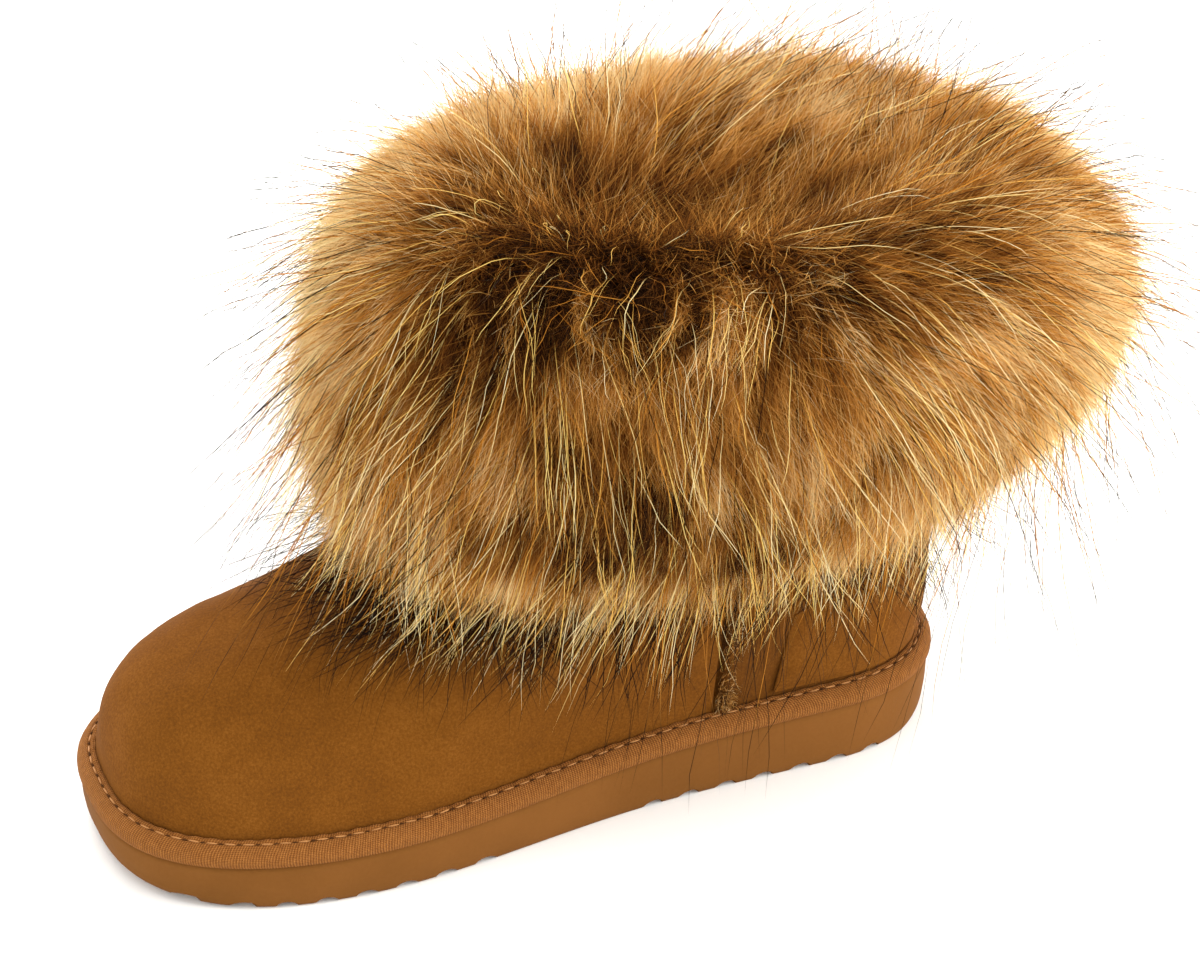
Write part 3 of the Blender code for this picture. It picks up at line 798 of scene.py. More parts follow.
def makeTape():
    rows = []
    middle = tapeRing(tape["middleInset"], 0.0)
    far = lengthsAlong(middle)
    length = far[-1] + np.linalg.norm(middle[0] - middle[-1])
    phase = far / length * round(length / tape["stitchPitch"])  # whole turns, one for each stitch
    pull = 0.5 - 0.5 * np.cos(2 * np.pi * phase)  # strongest between the threads, at the needle holes
    puckerInset, puckerWide, puckerDeep = tape["pucker"]
    grooveWide, grooveDeep = tape["groove"]
    softHigh, softWide, softSeed = tape["soft"]
    softFrom, softFull = tape["softRise"]
    for inset, height in tape["rows"]:
        ring = tapeRing(inset, height)
        if height > tape["foldHigh"]:
            near = math.exp(-(((inset - puckerInset) / puckerWide) ** 2))
            ring[:, 2] -= puckerDeep * near * pull
            near = math.exp(-(((inset - tape["stitchInset"]) / grooveWide) ** 2))
            ring[:, 2] -= grooveDeep * near * (0.4 + 0.6 * pull)
        soft = softHigh * softNoise(ring, softWide, softSeed) * (0.3 + smoothStep(height, softFrom, softFull))
        ring[:, 2] += soft * (height > softFrom)
        rows.append(ring)
    across = np.concatenate([[0], np.cumsum(np.hypot(*np.diff(np.array(tape["rows"]), axis=0).T))])
    u = np.append(far, length) / tape["rib"]
    u = u / u[-1] * round(u[-1])  # whole ribs, so that the weave closes
    v = np.append(across, across[-1] + tape["hiddenWide"]) / tape["weft"]
    grid = np.stack(np.meshgrid(u, v), -1).reshape(-1, 2)
    uv = grid[gridFaces(len(rows) + 1, tape["steps"] + 1)].reshape(-1, 2)
    faces = gridFaces(len(rows), tape["steps"], True, True)
    piece = newPiece("woven_binding", np.concatenate(rows), faces, tapeMaterial(), uv, "weave")
    print("tape made")
    return join(piece, "binding_tape")


# Stitches: waxed thread in short dashes, sunk into the tape, with a dark bead of painted shade in the needle
# hole at each end

stitches = {
    "thread": (0.00034, 0.00032, 0.00175),  # half sizes: across, out, along
    # the dark beads in the needle holes are painted shade
    "hole": (0.00036, 0.00022, 0.00070),
    "wobble": 0.09,  # radians
    "seed": 5,
    "steps": 4,  # places on the path for each stitch, so that a hole falls halfway between threads
}


def repeatAlong(name, path, count, shift, size, material):
    # Small rounded shapes at even steps along a closed path, set out by geometry nodes.
    tree = bpy.data.node_groups.new(name, "GeometryNodeTree")
    kinds = {
        "Geometry": "Geometry",
        "Count": "Int",
        "Size": "Vector",
        "Wobble": "Float",
        "Seed": "Int",
        "Material": "Material",
    }
    inputs = {}
    for label, kind in kinds.items():
        socket = tree.interface.new_socket(name=label, in_out="INPUT", socket_type="NodeSocket" + kind)
        inputs[label] = socket.identifier
    tree.interface.new_socket(name="Geometry", in_out="OUTPUT", socket_type="NodeSocketGeometry")
    given = addNode(tree, "NodeGroupInput").outputs
    line = addNode(tree, "GeometryNodeMeshToCurve", (), {0: given["Geometry"]})
    spots = addNode(tree, "GeometryNodeCurveToPoints", {"mode": "COUNT"}, {0: line, "Count": given["Count"]})
    bead = addNode(tree, "GeometryNodeMeshUVSphere", (), {"Segments": 6, "Rings": 5, "Radius": 1.0})
    ends = []
    for way in (-1.0, 1.0):
        sockets = {0: (way, way, way), 3: given["Wobble"]}
        ends.append(addNode(tree, "ShaderNodeVectorMath", {"operation": "SCALE"}, sockets))
    sockets = {0: ends[0], 1: ends[1], "Seed": given["Seed"]}
    sway = addNode(tree, "FunctionNodeRandomValue", {"data_type": "FLOAT_VECTOR"}, sockets)
    sockets = {0: spots.outputs["Rotation"], 1: sway}
    turned = addNode(tree, "FunctionNodeRotateRotation", {"rotation_space": "LOCAL"}, sockets)
    sockets = {"Points": spots, "Instance": bead, "Rotation": turned, "Scale": given["Size"]}
    placed = addNode(tree, "GeometryNodeInstanceOnPoints", (), sockets)
    real = addNode(tree, "GeometryNodeRealizeInstances", (), {0: placed})
    dressed = addNode(tree, "GeometryNodeSetMaterial", (), {0: real, "Material": given["Material"]})
    addNode(tree, "NodeGroupOutput", (), {0: dressed})

    mesh = bpy.data.meshes.new(name)
    edges = [(i, (i + 1) % len(path)) for i in range(len(path))]
    mesh.from_pydata(np.roll(path, shift, 0).tolist(), edges, [])
    piece = bpy.data.objects.new(name, mesh)
    bpy.context.scene.collection.objects.link(piece)
    made = piece.modifiers.new(name, "NODES")
    made.node_group = tree
    values = {"Count": count, "Size": size, "Material": material}
    values |= {"Wobble": stitches["wobble"], "Seed": stitches["seed"]}
    for label, value in values.items():
        made[inputs[label]] = value
    applied(piece)
    return piece


def makeStitches():
    path, count = stitchPath()
    thread, _, _ = newMaterial("waxed thread", Base_Color="#a87440", Roughness=0.6, Specular_IOR_Level=0.3)
    # painted shade: the dark colour of the beads in the needle holes
    shade, _, _ = newMaterial("needle hole", Base_Color="#472a12", Roughness=0.95, Specular_IOR_Level=0.1)
    between = stitches["steps"] // 2
    for piece in (
        repeatAlong("tape_stitches", path, count, 0, stitches["thread"], thread),
        repeatAlong("stitch_hole_shade", path, count, between, stitches["hole"], shade),
    ):
        join(piece, "binding_tape")
    print("stitches made")


# Heel counter: a second layer of suede, cut soft at its edges

counter = {
    "thick": 0.0011,
    "edgeShare": 0.08,  # of the thickness, left at the very edge
    "seat": 0.0006,  # above the upper, half of it filled
    "soft": (0.00012, 0.02, 41),  # unevenness: height, width, seed
    "frontLow": 0.070,
    "frontHigh": 0.076,
    "bottom": 0.0085,  # above the sole's top
    "sideTop": 0.034,
    "backTop": 0.056,
    "edge": 0.0055,  # how far in its rim is rounded
    "columns": 120,
    "rows": 30,
}


def makeCounter():
    low, sideTop, backTop = (riseAtBack(counter[edge]) for edge in ("bottom", "sideTop", "backTop"))
    softHigh, softWide, softSeed = counter["soft"]
    turn = 0.5 * crowdedEnds(counter["columns"]) + 0.5 * np.linspace(0, 1, counter["columns"])
    sheet = []
    for up in crowdedEnds(counter["rows"]):
        front = counter["frontLow"] + (counter["frontHigh"] - counter["frontLow"]) * up
        start = float(angleAt(np.array([front]), np.array([low + (sideTop - low) * up]))[0])
        angles = start + (2 * np.pi - 2 * start) * turn
        towardsBack = np.clip(1 - ((angles - np.pi) / (np.pi - start)) ** 2, 0, 1)
        rises = low + (sideTop + (backTop - sideTop) * towardsBack - low) * up
        base = upperPoint(angles, rises)
        far = np.linalg.norm(base - base[[0]], axis=1), np.linalg.norm(base - base[[-1]], axis=1)
        sheet.append((angles, rises, base, np.minimum(*far)))
    rings = []
    lowest, highest = sheet[0][2], sheet[-1][2]
    for angles, rises, base, sideways in sheet:
        above, below = np.linalg.norm(highest - base, axis=1), np.linalg.norm(lowest - base, axis=1)
        near = np.clip(np.minimum(np.minimum(above, below), sideways) / counter["edge"], 0, 1)
        share = counter["edgeShare"] + (1 - counter["edgeShare"]) * smoothStep(near, 0, 1)
        soft = softHigh * softNoise(base, softWide, softSeed)
        out = counter["seat"] + counter["thick"] * share + soft * near
        outer = upperOffset(angles, rises, out)
        inner = upperOffset(angles, rises, np.full(len(angles), counter["seat"] * 0.5))
        rings.append(np.concatenate([outer, inner[::-1]]))
    size = len(rings), len(rings[0])
    faces = gridFaces(*size, False, True).tolist() + flatCaps(*size)
    piece = newPiece("suede_counter", np.concatenate(rings), faces, suedeMaterial("chestnut suede, counter"))
    print("counter made")
    return join(piece, "heel_counter")


# Badge: a dark leather patch with a plain nickel button, its rim turned over

badge = {
    "height": 0.0168,  # of its middle, above the sole's top
    "size": (0.0100, 0.0118),
    "thick": 0.0010,
    "corner": 0.35,  # how far its ends narrow
    "rim": (0.82, 0.55),  # where it rounds over, and how much of its thickness goes
    "gap": 0.0003,  # under the patch and under the button
    "grain": 0.0007,
    "wear": 0.0012,
    "radius": 0.0034,
    "rows": 15,
    "columns": 17,
    "sides": 40,
    "searchTo": 0.7 * math.pi,  # its half width is looked up between the back and this angle
    "searchSteps": 200,
    "profile": (  # shares of the radius, height in metres
        (1.00, 0.00000),
        (1.00, 0.00070),
        (0.97, 0.00105),
        (0.90, 0.00125),
        (0.82, 0.00118),
        (0.76, 0.00095),
        (0.50, 0.00112),
        (0.20, 0.00122),
        (0.02, 0.00124),
    ),
}


def patchLeather():  # smooth hide with a fine pebbled grain and a dull shine
    material, tree, shader = newMaterial("dark patch leather", Base_Color="#2c1c12", Roughness=0.5, IOR=1.45)
    place = addNode(tree, "ShaderNodeTexCoord").outputs["Object"]
    grain = addNode(tree, "ShaderNodeTexVoronoi", (), {"Vector": place, "Scale": 1 / badge["grain"]})
    bump = addNode(tree, "ShaderNodeBump", (), {"Height": grain, "Distance": 0.0001, "Strength": 0.5})
    setSockets(tree, shader, {"Normal": bump})
    return material


def agedNickel():  # rubbed in places, so its shine is uneven
    material, tree, shader = newMaterial("aged nickel", Base_Color="#8d8878", Metallic=1.0, Roughness=0.34)
    place = addNode(tree, "ShaderNodeTexCoord").outputs["Object"]
    sockets = {"Vector": place, "Scale": 1 / badge["wear"], "Detail": 3.0}
    wear = addNode(tree, "ShaderNodeTexNoise", (), sockets)
    rough = addNode(tree, "ShaderNodeMapRange", (), {0: wear, 1: 0.3, 2: 0.7, 3: 0.26, 4: 0.46})
    setSockets(tree, shader, {"Roughness": rough})
    return material


def makeBadge():
    inner = counter["seat"] + counter["thick"] + badge["gap"]
    width, height = badge["size"]
    rimFrom, rimDeep = badge["rim"]
    turn = np.linspace(-1, 1, badge["columns"])
    rings = []
    for up in np.linspace(-0.5, 0.5, badge["rows"]):
        rise = riseAtBack(badge["height"] + up * height)
        angles = np.linspace(math.pi, badge["searchTo"], badge["searchSteps"])
        across = upperPoint(angles, np.full(len(angles), rise))[:, 0]
        halfWide = width / 2 * (1 - badge["corner"] * (2 * abs(up)) ** 3)
        angles = math.pi + (math.pi - float(np.interp(halfWide, across, angles))) * turn
        edge = np.maximum(np.abs(turn), np.abs(2 * up))
        out = inner + badge["thick"] * (1 - rimDeep * smoothStep(edge, rimFrom, 1.0))
        rises, under = np.full(len(turn), rise), np.full(len(turn), inner)
        ring = [upperOffset(angles, rises, out), upperOffset(angles, rises, under)[::-1]]
        rings.append(np.concatenate(ring))
    size = len(rings), len(rings[0])
    faces = gridFaces(*size, False, True).tolist() + flatCaps(*size)
    join(newPiece("badge_patch", np.concatenate(rings), faces, patchLeather()), "badge_base")

    rise = np.array([riseAtBack(badge["height"])])
    back = np.array([math.pi])
    seat = upperOffset(back, rise, np.array([inner + badge["thick"] + badge["gap"]]))[0]
    outWay, acrossWay = upperNormal(back, rise)[0], np.array([1.0, 0.0, 0.0])
    upWay = np.cross(acrossWay, outWay)
    turns = np.arange(badge["sides"]) / badge["sides"] * 2 * np.pi
    circle = np.cos(turns)[:, None] * acrossWay + np.sin(turns)[:, None] * upWay
    rings = [seat + out * outWay + badge["radius"] * share * circle for share, out in badge["profile"]]
    size = len(rings), badge["sides"]
    faces = gridFaces(*size, False, True)[:, ::-1].tolist() + endCaps(*size)
    button = newPiece("badge_button_cap", np.concatenate(rings), faces, agedNickel())
    print("badge made")
    return join(button, "badge_button")


def makeInsole():  # the frame's own shape is right: it only gets the fleece
    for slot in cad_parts["insole"].material_slots:
        slot.material = fleeceMaterial()
    print("insole covered")


# Fur: a dark bulk, a dense woolly coat over it, and long wavy guard hairs

fur = {
    "rows": (  # the bulk under the hair: y front and back, half width, height at front, side and back
        ("throat", 0.025, 0.042, 0.0015, 0.180, 0.177, 0.175),  # the hair closes over the opening
        ("mouth", 0.006, 0.088, 0.020, 0.188, 0.184, 0.180),
        ("crest", -0.016, 0.141, 0.047, 0.194, 0.190, 0.184),
        ("shoulder", -0.037, 0.166, 0.074, 0.190, 0.182, 0.178),
        ("upper", -0.051, 0.182, 0.086, 0.169, 0.162, 0.157),
        ("widest", -0.056, 0.186, 0.086, 0.144, 0.140, 0.137),
        ("lower", -0.055, 0.171, 0.079, 0.119, 0.121, 0.116),
        ("under", -0.052, 0.152, 0.068, 0.103, 0.106, 0.098),
        ("hem", -0.050, 0.138, 0.056, 0.089, 0.090, 0.082),
        ("skirt", -0.068, 0.146, 0.060, 0.077, 0.077, 0.066),  # where hair hangs free below the hem
    ),
    "power": 2.05,
    "dipPower": 1.5,
    "parting": (0.010, 0.20, 0.02, 0.25),  # how far to the outer side, slant, from this y, gone at this place
    "size": (0.13, 0.23),  # metres from the middle to the side and from throat to skirt, for even patterns
    "swirls": (  # round which side, how wide, fading from and to which place down, how far it turns
        (2.3, 0.6, 0.4, 0.7, 0.3),
        (4.6, 0.8, 0.3, 0.5, -0.7),
    ),
    "bends": ((0.38, 0.075, 11), (0.18, 0.028, 12)),  # radians, width in metres, seed
    "mostPace": 0.035,  # of round times down, for even roots
    "room": (0.028, 0.009, 0.3),  # past the frame's box: share of its size, metres, how softly hair leans in
    "bulkSteps": 120,
    "bulkRings": 70,
    "bulkDeep": 0.0030,  # under the hair's roots
    "turnIn": 0.006,  # how far it goes up under the hem and down inside the collar
    "sunkLow": 0.002,  # into the upper, below and at the collar
    "sunkHigh": 0.0035,
    "tones": (0.24, 0.30, 0.36, 0.41, 0.46, 0.49, 0.51, 0.54, 0.59, 0.63, 0.60),  # from throat to skirt; the dark at the throat is partly painted shade of the deep opening
    "streaks": ((0.026, 0.17), (0.012, 0.25), (0.005, 0.20)),  # width in metres, how strong
    "streakLong": 0.070,
    "streakSway": (0.25, 0.08, 20),  # radians, width in metres, seed
    "patches": (  # around and down, reach each way, how much lighter; around is 0 in front, pi/2 outside. Those marked painted are painted light and shade; the others are partly the fur's own colour and partly painted light and shade
        (0.75, 0.15, 0.50, 0.13, -0.42),  # painted shade at the whorl, where the hair parts deepest
        (2.30, 0.13, 0.60, 0.07, -0.14),  # painted shade along the parting
        (0.96, 0.46, 0.35, 0.20, -0.18),  # the darker middle: painted shade on the side away from the lamps
        (0.48, 0.38, 0.14, 0.08, -0.06),
        (0.60, 0.44, 0.12, 0.05, -0.18),
        (0.68, 0.56, 0.12, 0.05, 0.18),
        (0.90, 0.34, 0.14, 0.06, 0.26),
        (1.04, 0.64, 0.28, 0.09, -0.52),  # the band above the hem
        (1.15, 0.72, 0.20, 0.08, -0.04),
        (1.50, 0.70, 0.16, 0.08, -0.18),
        (1.80, 0.59, 0.16, 0.07, 0.14),
        (1.10, 0.89, 0.40, 0.06, 0.12),
        (0.55, 0.78, 0.18, 0.10, 0.14),
        (0.30, 0.34, 0.12, 0.08, 0.10),
        (1.60, 0.29, 0.30, 0.04, -0.08),
        (1.45, 0.50, 0.16, 0.10, 0.12),
        (-0.90, 0.11, 0.40, 0.06, -0.20),
        (0.06, 0.12, 0.16, 0.05, 0.10),
        (0.00, 0.58, 0.35, 0.28, 0.18),
        (1.95, 0.40, 0.42, 0.22, 0.20),
        (5.00, 0.19, 0.40, 0.07, 0.32),
        (2.75, 0.11, 0.50, 0.04, -0.20),
        (1.85, 0.21, 0.20, 0.05, -0.24),
        (3.40, 0.29, 0.50, 0.07, 0.22),
        (2.55, 0.60, 0.25, 0.10, 0.26),
        (0.92, 0.47, 0.13, 0.05, -0.22),
        (1.50, 0.68, 0.16, 0.06, -0.20),
        (-0.30, 0.43, 0.14, 0.08, 0.20),
        (0.00, 0.65, 0.16, 0.06, 0.18),
        (0.60, 0.67, 0.13, 0.06, 0.14),
        (0.30, 0.17, 0.10, 0.04, 0.20),
        (-0.46, 0.45, 0.36, 0.16, 0.60),  # painted rim light, pale where it turns out of sight: in front
        (-0.90, 0.29, 0.70, 0.07, 0.24),
        (4.60, 0.28, 0.70, 0.06, 0.36),  # painted rim light on the far side
        (3.20, 0.35, 0.35, 0.07, 0.28),
        (3.40, 0.18, 0.45, 0.06, 0.16),
        (2.55, 0.57, 0.28, 0.24, 0.50),  # and painted rim light behind
    ),
}
furColumns = np.array([row[1:] for row in fur["rows"]]).T
furPlaces = np.linspace(0, 1, len(fur["rows"]))  # 0 in the throat, 1 at the skirt
hemAt = furPlaces[-2]


def furPoint(around, down):
    around, down = np.broadcast_arrays(np.asarray(around, float), np.clip(down, 0, 1))
    front, back, wide, highFront, highSide, highBack = (through(down, furPlaces, c) for c in furColumns)
    cos, sin = np.cos(around), np.sin(around)
    y = (front + back) / 2 - (back - front) / 2 * np.sign(cos) * np.abs(cos) ** (2 / fur["power"])
    x = wide * np.sign(sin) * np.abs(sin) ** (2 / fur["power"])
    end = np.where(cos > 0, highFront, highBack)
    z = highSide + (end - highSide) * np.abs(cos) ** fur["dipPower"]
    aside, slant, fromY, gone = fur["parting"]
    x = x + (aside + slant * (y - fromY)) * (1 - smoothStep(down, 0, gone))
    return np.stack([x, y, z], -1)


def furFrame(around, down):  # the surface point, its ways down and out, and the paces down and round
    step = 0.004
    down = np.clip(down, 0, 1)
    point = furPoint(around, down)
    low, high = np.clip(down - step, 0, 1), np.clip(down + step, 0, 1)
    downWay = (furPoint(around, high) - furPoint(around, low)) / (high - low)[..., None]
    roundWay = (furPoint(around + step, down) - furPoint(around - step, down)) / (2 * step)
    downPace, roundPace = np.linalg.norm(downWay, axis=-1), np.linalg.norm(roundWay, axis=-1)
    out = unit(np.cross(roundWay, -downWay))
    return point, unit(downWay), out, downPace, np.maximum(roundPace, 1e-4)


def angleOff(around, where):  # the shortest way round, from -pi to pi
    return (around - where + np.pi) % (2 * np.pi) - np.pi


def furPlace(around, down):  # a point that moves evenly in metres over the fur
    wide, tall = fur["size"]
    return np.stack([wide * np.cos(around), wide * np.sin(around), tall * down], -1)


def furFlow(around, down):  # the hair's way, turned from straight down the slope
    flow = 0.0
    for where, reach, low, high, turn in fur["swirls"]:
        near = np.exp(-(((around % (2 * np.pi)) - where) / reach) ** 2)
        flow = flow + turn * (near * (1 - smoothStep(down, low, high)))
    for turn, width, seed in fur["bends"]:
        flow = flow + turn * softNoise(furPlace(around, down), width, seed)
    return flow


def furTone(around, down):
    tone = through(down, np.linspace(0, 1, len(fur["tones"])), fur["tones"])
    sway, width, seed = fur["streakSway"]
    turned = around + sway * softNoise(furPlace(around, down)[..., ::2], width, seed)
    for number, (width, strength) in enumerate(fur["streaks"], 1):
        place = furPlace(turned, down * width / fur["streakLong"])
        tone = tone + strength * softNoise(place, width, seed + number)
    for where, height, reach, tall, lighter in fur["patches"]:
        off = angleOff(around, where)
        tone = tone + lighter * np.exp(-((off / reach) ** 2) - ((down - height) / tall) ** 2)
    return tone


def furRoots(random, count, kind):  # evenly over the fur, but closer or sparser round one side
    around, down = np.empty(0), np.empty(0)
    where, reach, more = kind["crowd"]
    while len(around) < count:
        a, d = random.uniform(0, 2 * np.pi, count), random.uniform(*kind["zone"], count)
        *_, downPace, roundPace = furFrame(a, d)
        crowd = (1 + more * np.exp(-((angleOff(a, where) / reach) ** 2))) / max(1, 1 + more)
        crowd = crowd * smoothStep(d, 0, kind["full"]) if kind["full"] else crowd
        keep = random.uniform(0, fur["mostPace"], count) < downPace * roundPace * crowd
        around, down = np.append(around, a[keep]), np.append(down, d[keep])
    return around[:count], down[:count]


def walk(around, down, turn, curl, length, segments, heights):
    # Follows the fur's surface from each root, and beyond its lower edge goes straight on.
    around, down, turn = around.copy(), down.copy(), turn.copy()
    step = length / segments
    points, outs = [], []
    for k in range(segments + 1):
        point, downWay, out, downPace, roundPace = furFrame(around, down)
        beyond = np.maximum(down - 1, 0) * downPace
        points.append(point + out * heights[:, k : k + 1] + downWay * beyond[:, None])
        outs.append(out)
        down = np.maximum(down + step * np.cos(turn) / downPace, 0.001)
        around = around + step * np.sin(turn) / roundPace
        turn = turn + curl / segments
    return np.stack(points, 1), np.stack(outs, 1)


def stand(paths, outs, length, kind, random):  # lets the hair leave the surface, and droop a little
    place = np.linspace(0, 1, paths.shape[1])
    share, low, high, droop = kind["stand"]
    angle = random.uniform(low, high, (len(paths), 1))
    way = unit(paths[:, 1] - paths[:, 0])
    way = np.cos(angle) * way + np.sin(angle) * outs[:, 0]
    straight = paths[:, :1] + way[:, None] * (length[:, None] * place)[:, :, None]
    straight[..., 2] -= droop * length[:, None] * place**2
    return paths + share * (straight - paths)


def nearest(points, centres):
    found = np.empty(len(points), int)
    batch = 4000  # keeps the table of distances small
    for start in range(0, len(points), batch):
        part = points[start : start + batch]
        found[start : start + batch] = ((part[:, None] - centres[None]) ** 2).sum(-1).argmin(1)
    return found


def insideLimits(paths):  # leans stray hair so that it keeps within the room that the frame leaves
    low, high = np.array(cadBox[0]), np.array(cadBox[1])
    share, more, soft = fur["room"]
    spare = share * (high - low) + more
    roots = paths[:, :1]
    away = paths - roots
    room = np.where(away > 0, high + spare - roots, roots - low + spare)
    full = np.maximum((np.abs(away) / room).max(1, keepdims=True), 0.01)
    over = np.maximum(full - 1 + soft, 0)
    return roots + away * (np.minimum(full, 1 - soft) + soft * np.tanh(over / soft)) / full


def ribbons(name, paths, outs, tone, widths, spin, material):
    # One narrow ribbon for each path. Its map holds the tone across and the place along the hair.
    count, rings = paths.shape[:2]
    along = unit(np.gradient(paths, axis=1))
    flat = unit(np.cross(along, outs))
    rise = np.cross(flat, along)
    turn = spin[:, None, None]
    across = np.cos(turn) * flat + np.sin(turn) * rise
    face = np.cos(turn) * rise - np.sin(turn) * flat
    aside = across * (widths[:, :, None] / 2)
    pairs = np.stack([paths - aside, paths + aside], 2)[:, :-1]
    points = np.concatenate([pairs.reshape(count, -1, 3), paths[:, -1:]], 1)
    each = points.shape[1]
    low = 2 * np.arange(rings - 2)
    quads = np.concatenate([np.stack([low, low + 1, low + 3], 1), np.stack([low, low + 3, low + 2], 1)])
    pattern = np.concatenate([quads, [[each - 3, each - 2, each - 1]]])
    faces = (pattern[None] + (np.arange(count) * each)[:, None, None]).reshape(-1, 3)
    place = np.linspace(0, 1, rings)
    thin = 0.002  # half a hair's width on the map
    tone = np.clip(tone, 2 * thin, 1 - 2 * thin)
    maps = np.empty((count, each, 2))
    maps[:, :-1:2, 0] = (tone - thin)[:, None]
    maps[:, 1::2, 0] = (tone + thin)[:, None]
    maps[:, -1, 0] = tone
    maps[:, :-1:2, 1] = maps[:, 1::2, 1] = place[:-1]
    maps[:, -1, 1] = 1
    piece = newPiece(name, points.reshape(-1, 3), faces, material, maps.reshape(-1, 2))
    shading = unit(outs + 0.25 * face)
    shade = np.concatenate([np.repeat(shading[:, :-1], 2, axis=1), shading[:, -1:]], 1)
    piece.data.normals_split_custom_set_from_vertices(shade.reshape(-1, 3))
    return piece


never = [(0.0, "#000000"), (1.0, "#000000")]


def hairMaterial(name, tones, roots, gloss, seeThrough, tips=(never, never), tipGlow=0.0):
    # Hair that lets light through, painted darker at its root as shade deep in the coat. The map's u is its
    # tone, from dark to light, and its v runs from root to tip. Tips say where along it turns black, and in
    # which tones. Painted light lightens its end, as a glow from behind.
    material, tree, shader = newMaterial(name, Roughness=gloss, Specular_IOR_Level=0.04)
    place = addNode(tree, "ShaderNodeUVMap", {"uv_map": "OFBake"})
    parts = addNode(tree, "ShaderNodeSeparateXYZ", (), {"Vector": place})
    tone, along = parts.outputs[:2]
    tipLit = addNode(tree, "ShaderNodeMath", timesPlus, {0: along, 1: tipGlow, 2: tone})
    colour = setStops(addNode(tree, "ShaderNodeValToRGB", (), {"Fac": tipLit}), tones)
    shade = setStops(addNode(tree, "ShaderNodeValToRGB", (), {"Fac": along}), roots)
    settings = {"data_type": "RGBA", "blend_type": "MULTIPLY"}
    body = addNode(tree, "ShaderNodeMix", settings, {0: 1.0, 6: colour, 7: shade})
    tipped = setStops(addNode(tree, "ShaderNodeValToRGB", (), {"Fac": along}), tips[0])
    which = setStops(addNode(tree, "ShaderNodeValToRGB", (), {"Fac": tone}), tips[1])
    black = addNode(tree, "ShaderNodeMath", {"operation": "MULTIPLY"}, {0: tipped, 1: which})
    sockets = {0: black, 6: body.outputs[2], 7: coats["black"]}
    whole = addNode(tree, "ShaderNodeMix", {"data_type": "RGBA"}, sockets)
    setSockets(tree, shader, {"Base Color": whole.outputs[2]})
    glow = addNode(tree, "ShaderNodeBsdfTranslucent", (), {"Color": whole.outputs[2]})
    mix = addNode(tree, "ShaderNodeMixShader", (), {0: seeThrough, 1: shader, 2: glow})
    setSockets(tree, tree.nodes["Material Output"], {"Surface": mix})
    return material


def makeBulk(material):  # the close wool behind the hair
    steps = fur["bulkSteps"]
    around = np.arange(steps) / steps * 2 * np.pi
    loops = []
    for down in np.linspace(0, hemAt, fur["bulkRings"]):
        point, _, out, _, _ = furFrame(around, np.full(steps, down))
        loops.append(point - fur["bulkDeep"] * out)
    under = np.array([riseFor(a, z + fur["turnIn"]) for a, z in zip(around, loops[-1][:, 2])])
    loops.append(upperOffset(around, under, np.full(steps, -fur["sunkLow"])))
    top = upperOffset(around, np.full(steps, 1.0), np.full(steps, -fur["sunkHigh"]), True)
    loops += [top - (0, 0, fur["turnIn"]), top]
    points = np.concatenate(loops)
    down = np.concatenate([np.linspace(0, hemAt, fur["bulkRings"]), [1.0, 0.0, 0.0]])
    tone = furTone(np.tile(around, len(loops)), np.repeat(down, steps))
    faces = gridFaces(len(loops), steps, True, True)[:, ::-1]
    # v runs down the fur, so the painted root shade darkens the bulk towards the throat
    uv = np.stack([np.clip(tone, 0.01, 0.99), 0.02 + 0.96 * np.repeat(down, steps)], 1)
    return newPiece("fur_bulk", points, faces, material, uv)


def hairKind(**values):  # what most kinds of hair share, and what this one changes
    shared = {
        "crowd": (0.0, 1.0, 0.0),  # round this side, how wide, how much closer
        "full": 0.0,  # where down the fur it has come to its full number
        "taper": 0.65,
        "fluff": (0.0, 0.0, 0.0),  # the share that stands off the coat, and how far
        "dark": 0.0,  # the share that is near black all along
    }
    return shared | values


# Widths are a few times those of real hair, because thinner ribbons would vanish. Zone is from and to which
# place down the fur. Stand is its share, the least and greatest angle off the fur, and droop. Turn and curl
# are in radians, for each tuft and for each hair. Wave and frizz are in metres. Tone is the middle, the
# spread and how far it follows the streaks.

wool = hairKind(  # fine, crimped and soft, and close in tone from one hair to the next
    names=("fur_wool_1", "fur_wool_2", "fur_wool_3", "fur_wool_4"),
    strands=28500,  # in each piece
    segments=3,
    tufts=1700,
    zone=(0.003, 0.90),
    crowd=(1.4, 1.3, 0.3),
    length=(0.013, 0.026),
    width=0.00021,
    lift=(0.0004, 0.0036),
    fluff=(0.18, 0.003, 0.008),
    stand=(0.6, 0.10, 0.65, 0.10),
    clump=0.22,
    turn=(0.16, 0.30),
    curl=(0.35, 1.00),
    wave=(0.0, 0.0005),
    frizz=0.0008,
    facing=0.8,
    tone=(0.42, 0.060, 1.15),
)
fuzz = hairKind(  # stands out all over and makes the soft pale rim, with painted light at its tips
    names=("fur_fuzz",),
    strands=56000,
    segments=2,
    tufts=1500,
    zone=(0.003, 0.92),
    length=(0.010, 0.026),
    width=0.00019,
    lift=(0.0, 0.0020),
    stand=(1.0, 0.30, 1.20, 0.05),
    clump=0.08,
    turn=(0.30, 0.60),
    curl=(0.40, 0.80),
    wave=(0.0, 0.0004),
    frizz=0.0006,
    facing=1.2,
    tone=(0.40, 0.06, 1.15),
)
guard = hairKind(  # long, pale and shiny, in bunches that cross each other
    names=("fur_guard_hairs",),
    strands=2300,
    segments=7,
    tufts=520,
    zone=(0.06, 0.86),
    crowd=(0.6, 1.0, 0.5),
    full=0.42,
    length=(0.030, 0.062),
    width=0.00025,
    lift=(0.0050, 0.0110),
    fluff=(0.12, 0.010, 0.020),
    stand=(0.6, 0.15, 0.60, 0.15),
    clump=0.45,
    turn=(0.22, 0.16),
    curl=(0.45, 0.35),
    wave=(0.0003, 0.0010),
    frizz=0.0001,
    facing=1.0,
    tone=(0.88, 0.10, 0.30),
    dark=0.05,
)
